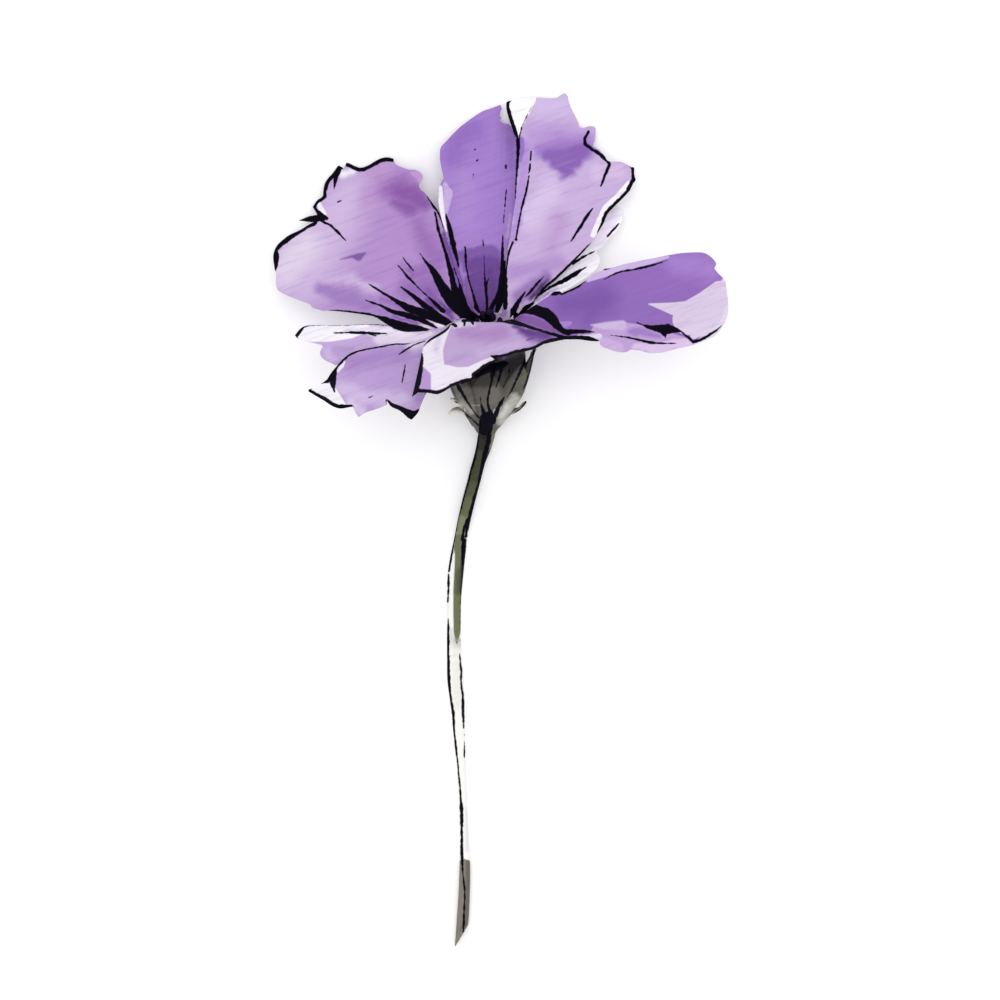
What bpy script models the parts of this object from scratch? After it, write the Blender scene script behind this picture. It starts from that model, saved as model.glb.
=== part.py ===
# A cut violet flower: eight notched petals in a funnel-shaped throat, a ribbed calyx with
# pointed sepals and small hooked bracts, dark stamens, and a long bare stem.
# It lies on a flat surface at z = 0, on the tips of the left and back right petals and on the
# cut end of its stem.
#
# Lengths are in millimetres and angles in degrees, up to the last step, which makes metres.
# +Z points up from the surface and +Y runs from the stem's cut end towards the flower.

import math
import random

import bmesh
import bpy
from mathutils import Matrix, Vector

MM = 0.001
GAP = 0.3  # between pieces that touch
MERGE_WITHIN = 0.01
SHARP_ANGLE = 40.0

# The head's own frame: Z out of the flower along its axis, X to the right, Y to the back petals
HEAD_AT = Vector((-1.9, 34.9, 15.8))  # the middle of the throat's rim
HEAD_LIFT = 30.0  # the axis above the surface
HEAD_TURN = 2.0  # the axis to the right of +Y
AXIS = Vector((0, 0, 1))

# The disc that carries the petals, and the foot where the stem starts, along the head's axis
DISC_HEIGHT = -7.0
FOOT_HEIGHT = -22.2

# Petals: a claw that stands in the throat, then a limb that opens out of it
CLAW_RISE = 78.0
CLAW_HALF_WIDTH = 1.1
CLAW_LENGTH = 5.0
OPENING_LENGTH = 8.0
LIMB_BEND = 1.4  # the power of the way along by which the limb's rise and sway come on
PETAL_CUP = 0.06  # how far its edges turn up, as a share of the half width
PETAL_WRAP = 0.35  # how much of the throat's bend the limb keeps
CLAW_SHARE = 0.1  # of the petal's length that is as narrow as the claw
WRAP_FADES = (0.15, 0.55)  # where along the petal the throat's bend fades out
CUP_GROWS = (0.1, 0.5)
RIPPLE_GROWS = (0.3, 1.0)
RIPPLE_SLANT = 2.0  # how far the ripple's phase moves on from claw to tip
PETAL_THICKNESS = 0.6
PETAL_ACROSS = 14
PETAL_ALONG = 16
STATIONS = 48

# Azimuth is about the head's axis, ring is the radius that the claw stands at, and rise is that
# of the limb's root and tip. Widths run from the midrib to the clockwise and to the other edge,
# at four places out to the tip. The edge is how far nine strips run, as shares of the length,
# from the clockwise edge to the other. The ripple is its height, count and phase.
PETALS = {
    "petal_left": {
        "azimuth": 148, "ring": 2.6, "length": 45.8, "rise": (14, 17.5), "sway": -11, "twist": -34,
        "widths": [(2.5, 7.0), (8, 12), (13, 16.6), (12.7, 19)],
        "edge": [0.89, 0.92, 1.0, 0.99, 0.96, 0.88, 0.94, 0.92, 0.83],
        "ripple": (0.5, 2.2, 0.4),
    },
    "petal_back": {
        "azimuth": 94.5, "ring": 4.0, "length": 45, "rise": (46, 38), "sway": -6.5, "twist": 1,
        "widths": [(2.3, 4.4), (3.7, 6.4), (4.9, 7.2), (5.2, 9)],
        "edge": [0.84, 0.92, 0.94, 1.0, 0.99, 0.97, 0.93, 0.87, 0.78],
        "ripple": (0.4, 2.0, 1.2),
    },
    "petal_back_right": {
        "azimuth": 61, "ring": 2.6, "length": 48.5, "rise": (42, 25.5), "sway": -3, "twist": 25,
        "widths": [(4.8, 2.2), (9.3, 4.6), (9.8, 8), (10.6, 12)],
        "edge": [0.87, 0.90, 0.87, 0.88, 0.96, 0.94, 0.99, 1.0, 0.88],
        "ripple": (0.5, 2.0, 2.0),
    },
    "petal_pale_right": {
        "azimuth": 33, "ring": 5.2, "length": 37.5, "rise": (15, 13), "sway": 3, "twist": 20,
        "widths": [(1.8, 1.6), (2.8, 2.6), (2.8, 4.5), (1.8, 6.5)],
        "edge": [0.77, 0.76, 0.82, 0.88, 0.92, 0.95, 0.99, 1.0, 0.92],
        "ripple": (0.4, 2.0, 0.7),
    },
    "petal_right": {
        "azimuth": 340, "ring": 3.2, "length": 49.2, "rise": (17, 13), "sway": 2, "twist": 31,
        "widths": [(4.2, 2.2), (6.6, 6.5), (9.9, 9), (10.7, 10)],
        "edge": [0.82, 0.97, 1.0, 1.0, 0.98, 0.97, 0.94, 0.92, 0.89],
        "ripple": (0.5, 2.0, 2.6),
    },
    "petal_front": {
        "azimuth": 268, "ring": 2.6, "length": 43.4, "rise": (13, -2.5), "sway": 4.5, "twist": 5,
        "widths": [(3.6, 3.4), (9.0, 5.5), (11.4, 8.8), (11.8, 13)],
        "edge": [1.0, 0.96, 0.90, 0.86, 0.77, 0.67, 0.62, 0.61, 0.62],
        "ripple": (0.4, 2.0, 0.2),
    },
    "petal_front_left": {
        "azimuth": 233.5, "ring": 4.0, "length": 44.8, "rise": (3.5, -13), "sway": 6, "twist": -1.5,
        "widths": [(2.0, 1.8), (4, 3.6), (7.4, 9.2), (6, 12)],
        "edge": [0.95, 0.96, 0.98, 0.99, 0.98, 1.0, 0.93, 0.95, 0.96],
        "ripple": (0.5, 2.0, 1.5),
    },
    "petal_pale_left": {
        "azimuth": 205, "ring": 5.1, "length": 37, "rise": (2.5, -6), "sway": 2.5, "twist": -13,
        "widths": [(2.0, 1.8), (2.6, 3.0), (4.0, 5), (6.2, 5.5)],
        "edge": [0.97, 1.0, 0.97, 0.96, 0.96, 0.97, 0.97, 0.96, 0.92],
        "ripple": (0.4, 2.0, 0.9),
    },
}

# Calyx: the body's radius at heights along the axis, then the blades that are fused to it
BODY = [
    (1.7, FOOT_HEIGHT), (2.7, -20.4), (4.6, -17.0), (6.4, -13.4), (6.6, -11.4), (6.1, -9.0),
    (5.5, DISC_HEIGHT),
]
BODY_SIDES = 24
SEPALS = 8
SEPAL_LINE = [(2.7, -20.6), (4.8, -17.0), (6.6, -13.4), (7.6, -9.6), (8.2, -5.6)]
SEPAL_HALF_WIDTHS = [1.2, 2.3, 2.9, 2.1, 0.35]
SEPAL_THICKNESS = 1.1
BLADE_ACROSS = 4
BLADE_ALONG = 8
BLADE_TILT = 0.2  # how far a blade's edges stand out and in, so that neighbours overlap
BRACTS = [  # azimuth round the axis, then the radius and height of the tip
    (-10, 6.9, -15.4), (38, 6.9, -15.6), (92, 7.0, -15.8), (144, 6.8, -15.6), (176, 7.0, -15.7),
    (203, 7.5, -18.2),
]
BRACT_FOOT = [(1.6, -21.7), (3.0, -20.4)]  # radius and height, the start that all of them share
BRACT_CLIMB = [(0.66, 0.48), (0.88, 0.72)]  # shares of the way from there to the tip
BRACT_HALF_WIDTHS = [1.0, 1.5, 1.3, 0.8, 0.3]
BRACT_THICKNESS = 0.8

# The heart of the flower: a dome with stamens and a style
DOME_RADIUS = 1.9
DOME_TOP_RADIUS = 1.15
DOME_HEIGHT = 1.8
DOME_SIDES = 16
STAMENS = 9
STAMEN_RADIUS = 0.35
STAMEN_ROOT_AT = 0.95  # from the axis
STAMEN_TIP_AT = 2.3
STAMEN_HEIGHTS = (5.6, 7.0)
STAMEN_DRIFT = 0.15  # off its place round the axis, as a share of the way to the next
ANTHER_RADIUS = 0.5
ANTHER_STRETCH = 1.6
STYLE_RADIUS = 0.45
STYLE_TOP_RADIUS = 0.36
STYLE_HEIGHT = 8.2
STIGMA_RADIUS = 0.72
STIGMA_STRETCH = 0.8
ROD_SIDES = 6
HEART_SEED = 4

# The stem from the calyx's foot to the cut end: x, y, z and radius of points on its centreline
STEM = [
    (-4.25, 9.0, 2.75, 1.22),
    (-5.7, 3.3, 2.35, 1.17),
    (-6.9, -2.5, 2.3, 1.30),
    (-7.9, -8.5, 2.4, 1.35),
    (-8.5, -16.0, 2.6, 1.28),
    (-8.5, -24.0, 2.7, 1.25),
    (-8.0, -31.5, 2.7, 1.15),
    (-7.4, -39.0, 2.6, 1.00),
    (-6.9, -47.0, 2.4, 0.90),
    (-6.7, -55.5, 2.1, 0.90),
    (-6.6, -64.0, 1.65, 0.95),
    (-6.9, -70.5, 1.25, 0.98),
    (-7.8, -79.0, 0.7, 0.85),
]
STEM_SIDES = 12
STEM_STEPS = 3  # between two points of the list
STEM_TOP = [(0.0, 1.6), (3.0, 1.5)]  # distance below the calyx's foot along the axis, and radius
CUT_AT = Vector((-6.9, -73.6, 0.0))
CUT_FACES = Vector((0.86, -0.51, 0.0))

COLOURS = {
    "violet_petal": (0.36, 0.21, 0.56),
    "pale_petal": (0.62, 0.50, 0.78),
    "calyx_green": (0.09, 0.09, 0.06),
    "stamen_dark": (0.02, 0.012, 0.03),
    "stem_green": (0.13, 0.15, 0.08),
}


def smoothstep(x, low, high):
    t = min(max((x - low) / (high - low), 0.0), 1.0)
    return t * t * (3 - 2 * t)


def mix(a, b, share):
    return a + (b - a) * share


def spline(values, share):
    """A smooth curve through evenly spaced values, at a share from 0 to 1 of the way."""
    last = len(values) - 1
    x = min(max(share, 0.0), 1.0) * last
    i = min(int(x), last - 1)
    f = x - i
    a, b = values[i], values[i + 1]
    before = values[i - 1] if i else 2 * a - b
    after = values[i + 2] if i + 2 <= last else 2 * b - a
    square = 2 * before - 5 * a + 4 * b - after
    cube = 3 * (a - b) + after - before
    return a + 0.5 * f * (b - before + f * (square + f * cube))


def head_matrix():
    """The head's frame in the part's frame."""
    lift, turn = math.radians(HEAD_LIFT), math.radians(HEAD_TURN)
    right = Vector((math.cos(turn), -math.sin(turn), 0))
    axis = Vector((math.sin(turn) * math.cos(lift), math.cos(turn) * math.cos(lift), math.sin(lift)))
    matrix = Matrix((right, axis.cross(right), axis)).transposed().to_4x4()
    matrix.translation = HEAD_AT
    return matrix


def to_object(name, shape, material):
    """Turns a bmesh in millimetres into an object in metres."""
    bmesh.ops.scale(shape, verts=shape.verts, vec=(MM, MM, MM))
    mesh = bpy.data.meshes.new(name)
    shape.to_mesh(mesh)
    shape.free()
    mesh.shade_smooth()
    mesh.set_sharp_from_angle(angle=math.radians(SHARP_ANGLE))
    mesh.materials.append(material)
    thing = bpy.data.objects.new(name, mesh)
    bpy.context.scene.collection.objects.link(thing)
    return thing


def thicken(sheet, thickness, offset):
    """Gives a sheet its thickness: half to each face at offset 0, all of it behind at -1."""
    thick = sheet.modifiers.new("thickness", "SOLIDIFY")
    thick.thickness = thickness * MM
    thick.offset = offset


def fuse(thing, others):
    """Joins other closed objects to this one as one body, and removes them."""
    group = bpy.data.collections.new(thing.name + "_parts")
    for other in others:
        group.objects.link(other)
    union = thing.modifiers.new("union", "BOOLEAN")
    union.operation = "UNION"
    union.operand_type = "COLLECTION"
    union.collection = group
    union.solver = "EXACT"
    graph = bpy.context.evaluated_depsgraph_get()
    whole = bpy.data.meshes.new_from_object(thing.evaluated_get(graph))
    thing.modifiers.remove(union)
    thing.data = whole
    for other in others:
        bpy.data.objects.remove(other)
    bpy.data.collections.remove(group)


# Petals

def midrib(petal):
    """Stations from the claw's foot, in the head's frame: place, along, across, up and outwards."""
    azimuth = math.radians(petal["azimuth"])
    radial = Vector((math.cos(azimuth), math.sin(azimuth), 0))
    side = AXIS.cross(radial)
    edge_drop = PETAL_THICKNESS / 2 * math.cos(math.radians(CLAW_RISE))
    place = radial * petal["ring"] + AXIS * (DISC_HEIGHT + GAP + edge_drop)
    step = petal["length"] / STATIONS
    stations = []
    for i in range(STATIONS + 1):
        run = i * step
        opened = smoothstep(run, CLAW_LENGTH, CLAW_LENGTH + OPENING_LENGTH)
        far = max(0.0, (run - CLAW_LENGTH) / (petal["length"] - CLAW_LENGTH)) ** LIMB_BEND
        rise = math.radians(mix(CLAW_RISE, mix(*petal["rise"], far), opened))
        sway = math.radians(petal["sway"]) * far
        out = radial * math.cos(sway) + side * math.sin(sway)
        along = out * math.cos(rise) + AXIS * math.sin(rise)
        across = AXIS.cross(out)
        across.rotate(Matrix.Rotation(math.radians(petal["twist"]) * opened, 3, along))
        if stations:
            place = place + (along + stations[-1][1]) * (step / 2)
        stations.append((place, along, across, along.cross(across), out))
    return stations


def petal_point(petal, stations, u, v):
    """The point at u from -1 to 1 across the petal and v from 0 to 1 along its strip."""
    run = v * spline(petal["edge"], (u + 1) / 2)
    low = min(int(run * STATIONS), STATIONS - 1)
    share = run * STATIONS - low
    place, along, across, up, out = (mix(a, b, share) for a, b in zip(stations[low], stations[low + 1]))
    side = 0 if u < 0 else 1
    widths = [CLAW_HALF_WIDTH] + [pair[side] for pair in petal["widths"]]
    half = spline(widths, (v - CLAW_SHARE) / (1 - CLAW_SHARE))
    bend = mix(1.0, PETAL_WRAP, smoothstep(v, *WRAP_FADES)) / max(1.0, math.hypot(place.x, place.y))
    angle = u * half * bend
    height, count, phase = petal["ripple"]
    wave = math.sin(count * math.pi * u + phase + RIPPLE_SLANT * v)
    ripple = height * smoothstep(v, *RIPPLE_GROWS) * wave
    lift = PETAL_CUP * half * u * u * smoothstep(v, *CUP_GROWS) + ripple
    return place + across * (math.sin(angle) / bend) - out * ((1 - math.cos(angle)) / bend) + up * lift


def add_petal(name, petal, head, material):
    shape = bmesh.new()
    bmesh.ops.create_grid(shape, x_segments=PETAL_ACROSS, y_segments=PETAL_ALONG, size=1)
    stations = midrib(petal)
    for vert in shape.verts:
        vert.co = head @ petal_point(petal, stations, vert.co.x, (vert.co.y + 1) / 2)
    bmesh.ops.triangulate(shape, faces=shape.faces)
    thicken(to_object(name, shape, material), PETAL_THICKNESS, 0)


# Calyx

def add_blade(line, half_widths, thickness, azimuth, head, material):
    """A pointed blade that follows a line of radii and heights, curved round the head's axis."""
    radii = [radius for radius, height in line]
    heights = [height for radius, height in line]
    shape = bmesh.new()
    bmesh.ops.create_grid(shape, x_segments=BLADE_ACROSS, y_segments=BLADE_ALONG, size=1)
    for vert in shape.verts:
        t = (vert.co.y + 1) / 2
        radius = spline(radii, t) + BLADE_TILT * vert.co.x
        angle = math.radians(azimuth) + vert.co.x * spline(half_widths, t) / radius
        vert.co = (radius * math.cos(angle), radius * math.sin(angle), spline(heights, t))
    bmesh.ops.triangulate(shape, faces=shape.faces)
    bmesh.ops.transform(shape, matrix=head, verts=shape.verts)
    blade = to_object("blade", shape, material)
    thicken(blade, thickness, -1)
    return blade


def add_calyx(head, material):
    shape = bmesh.new()
    profile = [shape.verts.new((radius, 0, height)) for radius, height in BODY]
    edges = [shape.edges.new(pair) for pair in zip(profile, profile[1:])]
    bmesh.ops.spin(
        shape, geom=profile + edges, cent=(0, 0, 0), axis=(0, 0, 1), angle=math.tau,
        steps=BODY_SIDES, use_merge=True, use_duplicate=False,
    )
    bmesh.ops.holes_fill(shape, edges=shape.edges, sides=BODY_SIDES)
    bmesh.ops.triangulate(shape, faces=shape.faces)
    bmesh.ops.recalc_face_normals(shape, faces=shape.faces)
    bmesh.ops.transform(shape, matrix=head, verts=shape.verts)
    calyx = to_object("calyx", shape, material)
    blades = [
        add_blade(SEPAL_LINE, SEPAL_HALF_WIDTHS, SEPAL_THICKNESS, i * 360 / SEPALS, head, material)
        for i in range(SEPALS)
    ]
    for azimuth, radius, height in BRACTS:
        foot, low = BRACT_FOOT
        climb = [(mix(low[0], radius, out), mix(low[1], height, up)) for out, up in BRACT_CLIMB]
        line = [foot, low, *climb, (radius, height)]
        blades.append(add_blade(line, BRACT_HALF_WIDTHS, BRACT_THICKNESS, azimuth, head, material))
    fuse(calyx, blades)


# Heart

def add_rod(start, end, start_radius, end_radius, head, material):
    shape = bmesh.new()
    along = end - start
    turn = along.to_track_quat("Z", "Y").to_matrix().to_4x4()
    bmesh.ops.create_cone(
        shape, cap_ends=True, cap_tris=True, segments=ROD_SIDES, radius1=start_radius,
        radius2=end_radius, depth=along.length,
        matrix=head @ Matrix.Translation((start + end) / 2) @ turn,
    )
    return to_object("rod", shape, material)


def add_bead(at, radius, stretch, head, material):
    shape = bmesh.new()
    size = Matrix.Diagonal((radius, radius, radius * stretch, 1))
    bmesh.ops.create_icosphere(shape, subdivisions=2, radius=1, matrix=head @ Matrix.Translation(at) @ size)
    return to_object("bead", shape, material)


def add_heart(head, material):
    foot = Vector((0, 0, DISC_HEIGHT + GAP))
    chance = random.Random(HEART_SEED)
    shape = bmesh.new()
    bmesh.ops.create_cone(
        shape, cap_ends=True, cap_tris=True, segments=DOME_SIDES, radius1=DOME_RADIUS,
        radius2=DOME_TOP_RADIUS, depth=DOME_HEIGHT,
        matrix=head @ Matrix.Translation(foot + AXIS * (DOME_HEIGHT / 2)),
    )
    heart = to_object("flower_centre", shape, material)
    root = foot + AXIS * (DOME_HEIGHT / 2)
    top = foot + AXIS * STYLE_HEIGHT
    pieces = [
        add_rod(root, top, STYLE_RADIUS, STYLE_TOP_RADIUS, head, material),
        add_bead(top, STIGMA_RADIUS, STIGMA_STRETCH, head, material),
    ]
    for i in range(STAMENS):
        angle = math.tau * (i + chance.uniform(-STAMEN_DRIFT, STAMEN_DRIFT)) / STAMENS
        out = Vector((math.cos(angle), math.sin(angle), 0))
        start = root + out * STAMEN_ROOT_AT
        end = foot + out * STAMEN_TIP_AT + AXIS * chance.uniform(*STAMEN_HEIGHTS)
        pieces.append(add_rod(start, end, STAMEN_RADIUS, STAMEN_RADIUS, head, material))
        pieces.append(add_bead(end, ANTHER_RADIUS, ANTHER_STRETCH, head, material))
    fuse(heart, pieces)


# Stem

def add_stem(head, material):
    points = [(*(head @ (AXIS * (FOOT_HEIGHT - GAP - below))), radius) for below, radius in STEM_TOP] + STEM
    curve = bpy.data.curves.new("stem", "CURVE")
    curve.dimensions = "3D"
    curve.bevel_depth = MM
    curve.bevel_resolution = STEM_SIDES // 4 - 1
    curve.use_fill_caps = True
    line = curve.splines.new("BEZIER")
    line.resolution_u = STEM_STEPS
    line.bezier_points.add(len(points) - 1)
    for point, (x, y, z, radius) in zip(line.bezier_points, points):
        point.co = Vector((x, y, z)) * MM
        point.radius = radius
        point.handle_left_type = point.handle_right_type = "AUTO"
    guide = bpy.data.objects.new("stem_line", curve)
    bpy.context.scene.collection.objects.link(guide)
    graph = bpy.context.evaluated_depsgraph_get()
    swept = bpy.data.meshes.new_from_object(guide.evaluated_get(graph))
    bpy.data.objects.remove(guide)
    shape = bmesh.new()
    shape.from_mesh(swept)
    bmesh.ops.scale(shape, verts=shape.verts, vec=(1 / MM, 1 / MM, 1 / MM))
    bmesh.ops.remove_doubles(shape, verts=shape.verts, dist=MERGE_WITHIN)
    bmesh.ops.bisect_plane(
        shape, geom=shape.verts[:] + shape.edges[:] + shape.faces[:],
        plane_co=CUT_AT, plane_no=CUT_FACES, clear_outer=True,
    )
    bmesh.ops.holes_fill(shape, edges=shape.edges, sides=4 * STEM_SIDES)
    bmesh.ops.triangulate(shape, faces=shape.faces)
    bmesh.ops.recalc_face_normals(shape, faces=shape.faces)
    to_object("stem", shape, material)


def add_material(name, roughness):
    material = bpy.data.materials.new(name)
    material.use_nodes = True
    shader = material.node_tree.nodes["Principled BSDF"]
    shader.inputs["Base Color"].default_value = (*COLOURS[name], 1)
    shader.inputs["Roughness"].default_value = roughness
    shader.inputs["Metallic"].default_value = 0.0
    return material


def main():
    for thing in list(bpy.data.objects):
        bpy.data.objects.remove(thing)
    head = head_matrix()
    violet = add_material("violet_petal", 0.55)
    pale = add_material("pale_petal", 0.55)
    for name, petal in PETALS.items():
        add_petal(name, petal, head, pale if "pale" in name else violet)
    add_calyx(head, add_material("calyx_green", 0.6))
    add_heart(head, add_material("stamen_dark", 0.6))
    add_stem(head, add_material("stem_green", 0.6))


main()
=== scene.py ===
import math
import random

import bmesh
import bpy
import numpy as np
from mathutils import Matrix, Vector


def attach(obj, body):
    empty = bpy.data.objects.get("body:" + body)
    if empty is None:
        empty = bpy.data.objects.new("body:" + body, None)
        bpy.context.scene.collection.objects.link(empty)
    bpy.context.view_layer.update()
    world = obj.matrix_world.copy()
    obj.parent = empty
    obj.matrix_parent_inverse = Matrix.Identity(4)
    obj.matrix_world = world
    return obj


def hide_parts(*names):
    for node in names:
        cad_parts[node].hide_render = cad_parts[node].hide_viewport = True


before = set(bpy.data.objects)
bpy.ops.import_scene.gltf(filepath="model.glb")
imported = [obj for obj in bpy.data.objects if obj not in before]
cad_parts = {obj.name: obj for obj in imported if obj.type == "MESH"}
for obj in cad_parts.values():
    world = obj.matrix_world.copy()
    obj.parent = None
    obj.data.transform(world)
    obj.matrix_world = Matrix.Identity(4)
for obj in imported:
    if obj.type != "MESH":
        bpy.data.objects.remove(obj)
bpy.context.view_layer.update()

mm = 0.001

# The photograph's plane is the surface that the flower lies on, seen from straight above.
# A place in it is given in pixels of the 1000 x 1000 photograph, right and down.
photo = {
    "side": 1000,  # pixels
    "pixel": 0.18 * mm,  # how wide one is on the surface
    "origin": (500.5, 518.5),  # the pixel that shows the frame's origin
    "cameraHeight": 700 * mm,
}

# Z out of the flower along its axis, X to the right, Y to the back petals
head = {
    "at": (-1.9, 34.9, 15.8),  # mm, the middle of the throat's rim
    "lift": 30,  # degrees, the axis above the surface
    "turn": 2,  # degrees, the axis to the right of +Y
    "disc": -7.0,  # mm along the axis, what the petals stand on
    "gap": 0.3,  # mm between neighbouring pieces
}

# How every petal grows, in mm and degrees: a claw that stands in the throat, then an open limb
growth = {
    "clawRise": 78, "clawHalfWidth": 1.1, "clawLength": 5, "clawShare": 0.1,
    "openingLength": 8,  # along which the claw opens into the limb
    "limbBend": 1.4,  # over 1, the limb bends more towards its tip
    "cup": 0.06, "wrap": 0.35,  # how hollow the limb is, and how much it curls round the axis
    "thickness": 0.3, "edgeDrop": 0.3,  # the second is how far the claw's foot reaches down
    "across": 84, "along": 112, "stations": 96,
    "spread": 1.07,  # the sheet is grown a little too wide and long, then trimmed to its outline
    "reach": 1.3,  # its middle line is worked out further than that
    "veins": 7, "veinHeight": 0.014, "rippleSlant": 2,
    "frill": 0.16, "frillWaves": 9, "frillSlant": 3, "frillPhase": 5,
    # the shares of the length between which each form sets in
    "spreadFrom": (0.15, 0.35), "wrapFrom": (0.15, 0.55), "cupFrom": (0.1, 0.5),
    "rippleFrom": (0.3, 1.0), "frillFrom": (0.6, 1.0), "veinsFrom": (0.15, 0.4),
}


def smoothStep(x, low, high):
    # Rises smoothly from 0 at low to 1 at high
    t = np.clip((np.asarray(x, float) - low) / (high - low), 0, 1)
    return t * t * (3 - 2 * t)


def curveThrough(values, share):
    # A smooth curve through evenly spaced values, at a share from 0 to 1 of the way
    values = np.asarray(values, float)
    last = len(values) - 1
    x = np.clip(np.asarray(share, float), 0, 1) * last
    i = np.minimum(x.astype(int), last - 1)
    columns = (...,) + (None,) * (values.ndim - 1)
    f = (x - i)[columns]
    a, b = values[i], values[i + 1]
    before = np.where((i > 0)[columns], values[np.maximum(i - 1, 0)], 2 * a - b)
    after = np.where((i < last - 1)[columns], values[np.minimum(i + 2, last)], 2 * b - a)
    square = 2 * before - 5 * a + 4 * b - after
    cube = 3 * (a - b) + after - before
    return a + 0.5 * f * (b - before + f * (square + f * cube))


def headMatrix():
    # Places and tilts the flower's head on its stem
    lift, turn = math.radians(head["lift"]), math.radians(head["turn"])
    right = Vector((math.cos(turn), -math.sin(turn), 0))
    axis = Vector((math.sin(turn) * math.cos(lift), math.cos(turn) * math.cos(lift), math.sin(lift)))
    matrix = Matrix((right, axis.cross(right), axis)).transposed().to_4x4()
    matrix.translation = Vector(head["at"]) * mm
    return matrix @ Matrix.Scale(mm, 4)


headPlace = headMatrix()  # takes mm in the head's frame to metres in the part's


def onPhoto(places):
    # The photograph's pixels where these points show
    nearer = photo["cameraHeight"] / (photo["cameraHeight"] - places[:, 2])
    x = photo["origin"][0] + places[:, 0] * nearer / photo["pixel"]
    y = photo["origin"][1] - places[:, 1] * nearer / photo["pixel"]
    return np.stack([x, y], 1)


def onSurface(x, y):
    # Where a pixel of the photograph lies on the surface, in metres
    right, up = x - photo["origin"][0], photo["origin"][1] - y
    return Vector((right * photo["pixel"], up * photo["pixel"], 0))


def inPixels(length):
    # A length in mm as pixels of the photograph
    return length * mm / photo["pixel"]


# Meshes

def meshPlaces(mesh):
    # The mesh's points as rows of x, y and z
    places = np.empty(len(mesh.vertices) * 3, np.float32)
    mesh.vertices.foreach_get("co", places)
    return places.reshape(-1, 3).astype(float)


def newPiece(name, shape):
    # A bmesh as an object of the scene
    mesh = bpy.data.meshes.new(name)
    shape.to_mesh(mesh)
    shape.free()
    piece = bpy.data.objects.new(name, mesh)
    bpy.context.scene.collection.objects.link(piece)
    return piece


def spunBody(rows, sides):
    # Rows of (radius, height) turned to a closed body round the head's axis
    shape = bmesh.new()
    profile = [shape.verts.new((radius, 0, height)) for radius, height in rows]
    edges = [shape.edges.new(pair) for pair in zip(profile, profile[1:])]
    bmesh.ops.spin(
        shape, geom=profile + edges, cent=(0, 0, 0), axis=(0, 0, 1), angle=math.tau, steps=sides,
        use_merge=True, use_duplicate=False,
    )
    bmesh.ops.holes_fill(shape, edges=shape.edges, sides=sides)
    return shape


def newHeadPiece(name, shape):
    # The same for a shape in the head's frame, which is put in its place on the stem
    bmesh.ops.triangulate(shape, faces=shape.faces)
    bmesh.ops.recalc_face_normals(shape, faces=shape.faces)
    bmesh.ops.transform(shape, matrix=headPlace, verts=shape.verts)
    return newPiece(name, shape)


def applied(piece):
    # The piece with its modifiers' result as its own mesh
    graph = bpy.context.evaluated_depsgraph_get()
    mesh = bpy.data.meshes.new_from_object(piece.evaluated_get(graph))
    piece.modifiers.clear()
    old, piece.data = piece.data, mesh
    bpy.data.meshes.remove(old)
    mesh.name = piece.name
    return piece


def combine(piece, others, operation):
    # A Boolean of the piece with other closed objects, which are then removed
    for other in others:
        boolean = piece.modifiers.new("combine", "BOOLEAN")
        boolean.operation, boolean.solver, boolean.object = operation, "MANIFOLD", other
    applied(piece)
    for other in others:
        bpy.data.objects.remove(other)
    return piece


def finishPiece(piece, node, material, sharpAngle=35, behind=0):
    # Where each point shows in the photograph is kept on the piece, for its painted markings,
    # and how many pixels it lies behind the side that is seen there
    drawn = piece.data.attributes.new("drawn", "FLOAT_VECTOR", "POINT")
    places = onPhoto(meshPlaces(piece.data))
    depth = np.maximum(behind, 0) * np.ones(len(places))
    drawn.data.foreach_set("vector", np.column_stack([places, depth]).ravel())
    piece.data.shade_smooth()
    piece.data.set_sharp_from_angle(angle=math.radians(sharpAngle))
    piece.data.materials.clear()
    piece.data.materials.append(material)
    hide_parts(node)
    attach(piece, "root")
    return piece


# Outlines: smooth runs of (x, y) pixels that meet at corners. A third number is the width of
# the ink line that runs there along the rim, inside it.

trim = {
    "step": 2.5,  # pixels between the points of a traced outline
    "noInk": -2.0,  # pixels, a width below nothing keeps the rim clean
    "bottom": -5, "top": 75,  # mm, how far the cutter reaches below and above the surface
    # mm, the barrel round the throat: its radius, its height and its middle above the disc
    "barrelRadius": 6.4, "barrelHeight": 7, "barrelMiddle": 3, "barrelSides": 48,
}


def traceOutline(runs):
    # The whole outline as evenly spaced rows of x, y and ink width
    traced = []
    for run in runs:
        points = np.array([point if len(point) == 3 else (*point, trim["noInk"]) for point in run], float)
        length = np.hypot(*np.diff(points[:, :2], axis=0).T).sum()
        steps = max(int(length / trim["step"]), 1)
        traced.append(curveThrough(points, np.linspace(0, 1, steps + 1)) if len(points) > 2 else points)
    return np.concatenate(traced)


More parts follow.
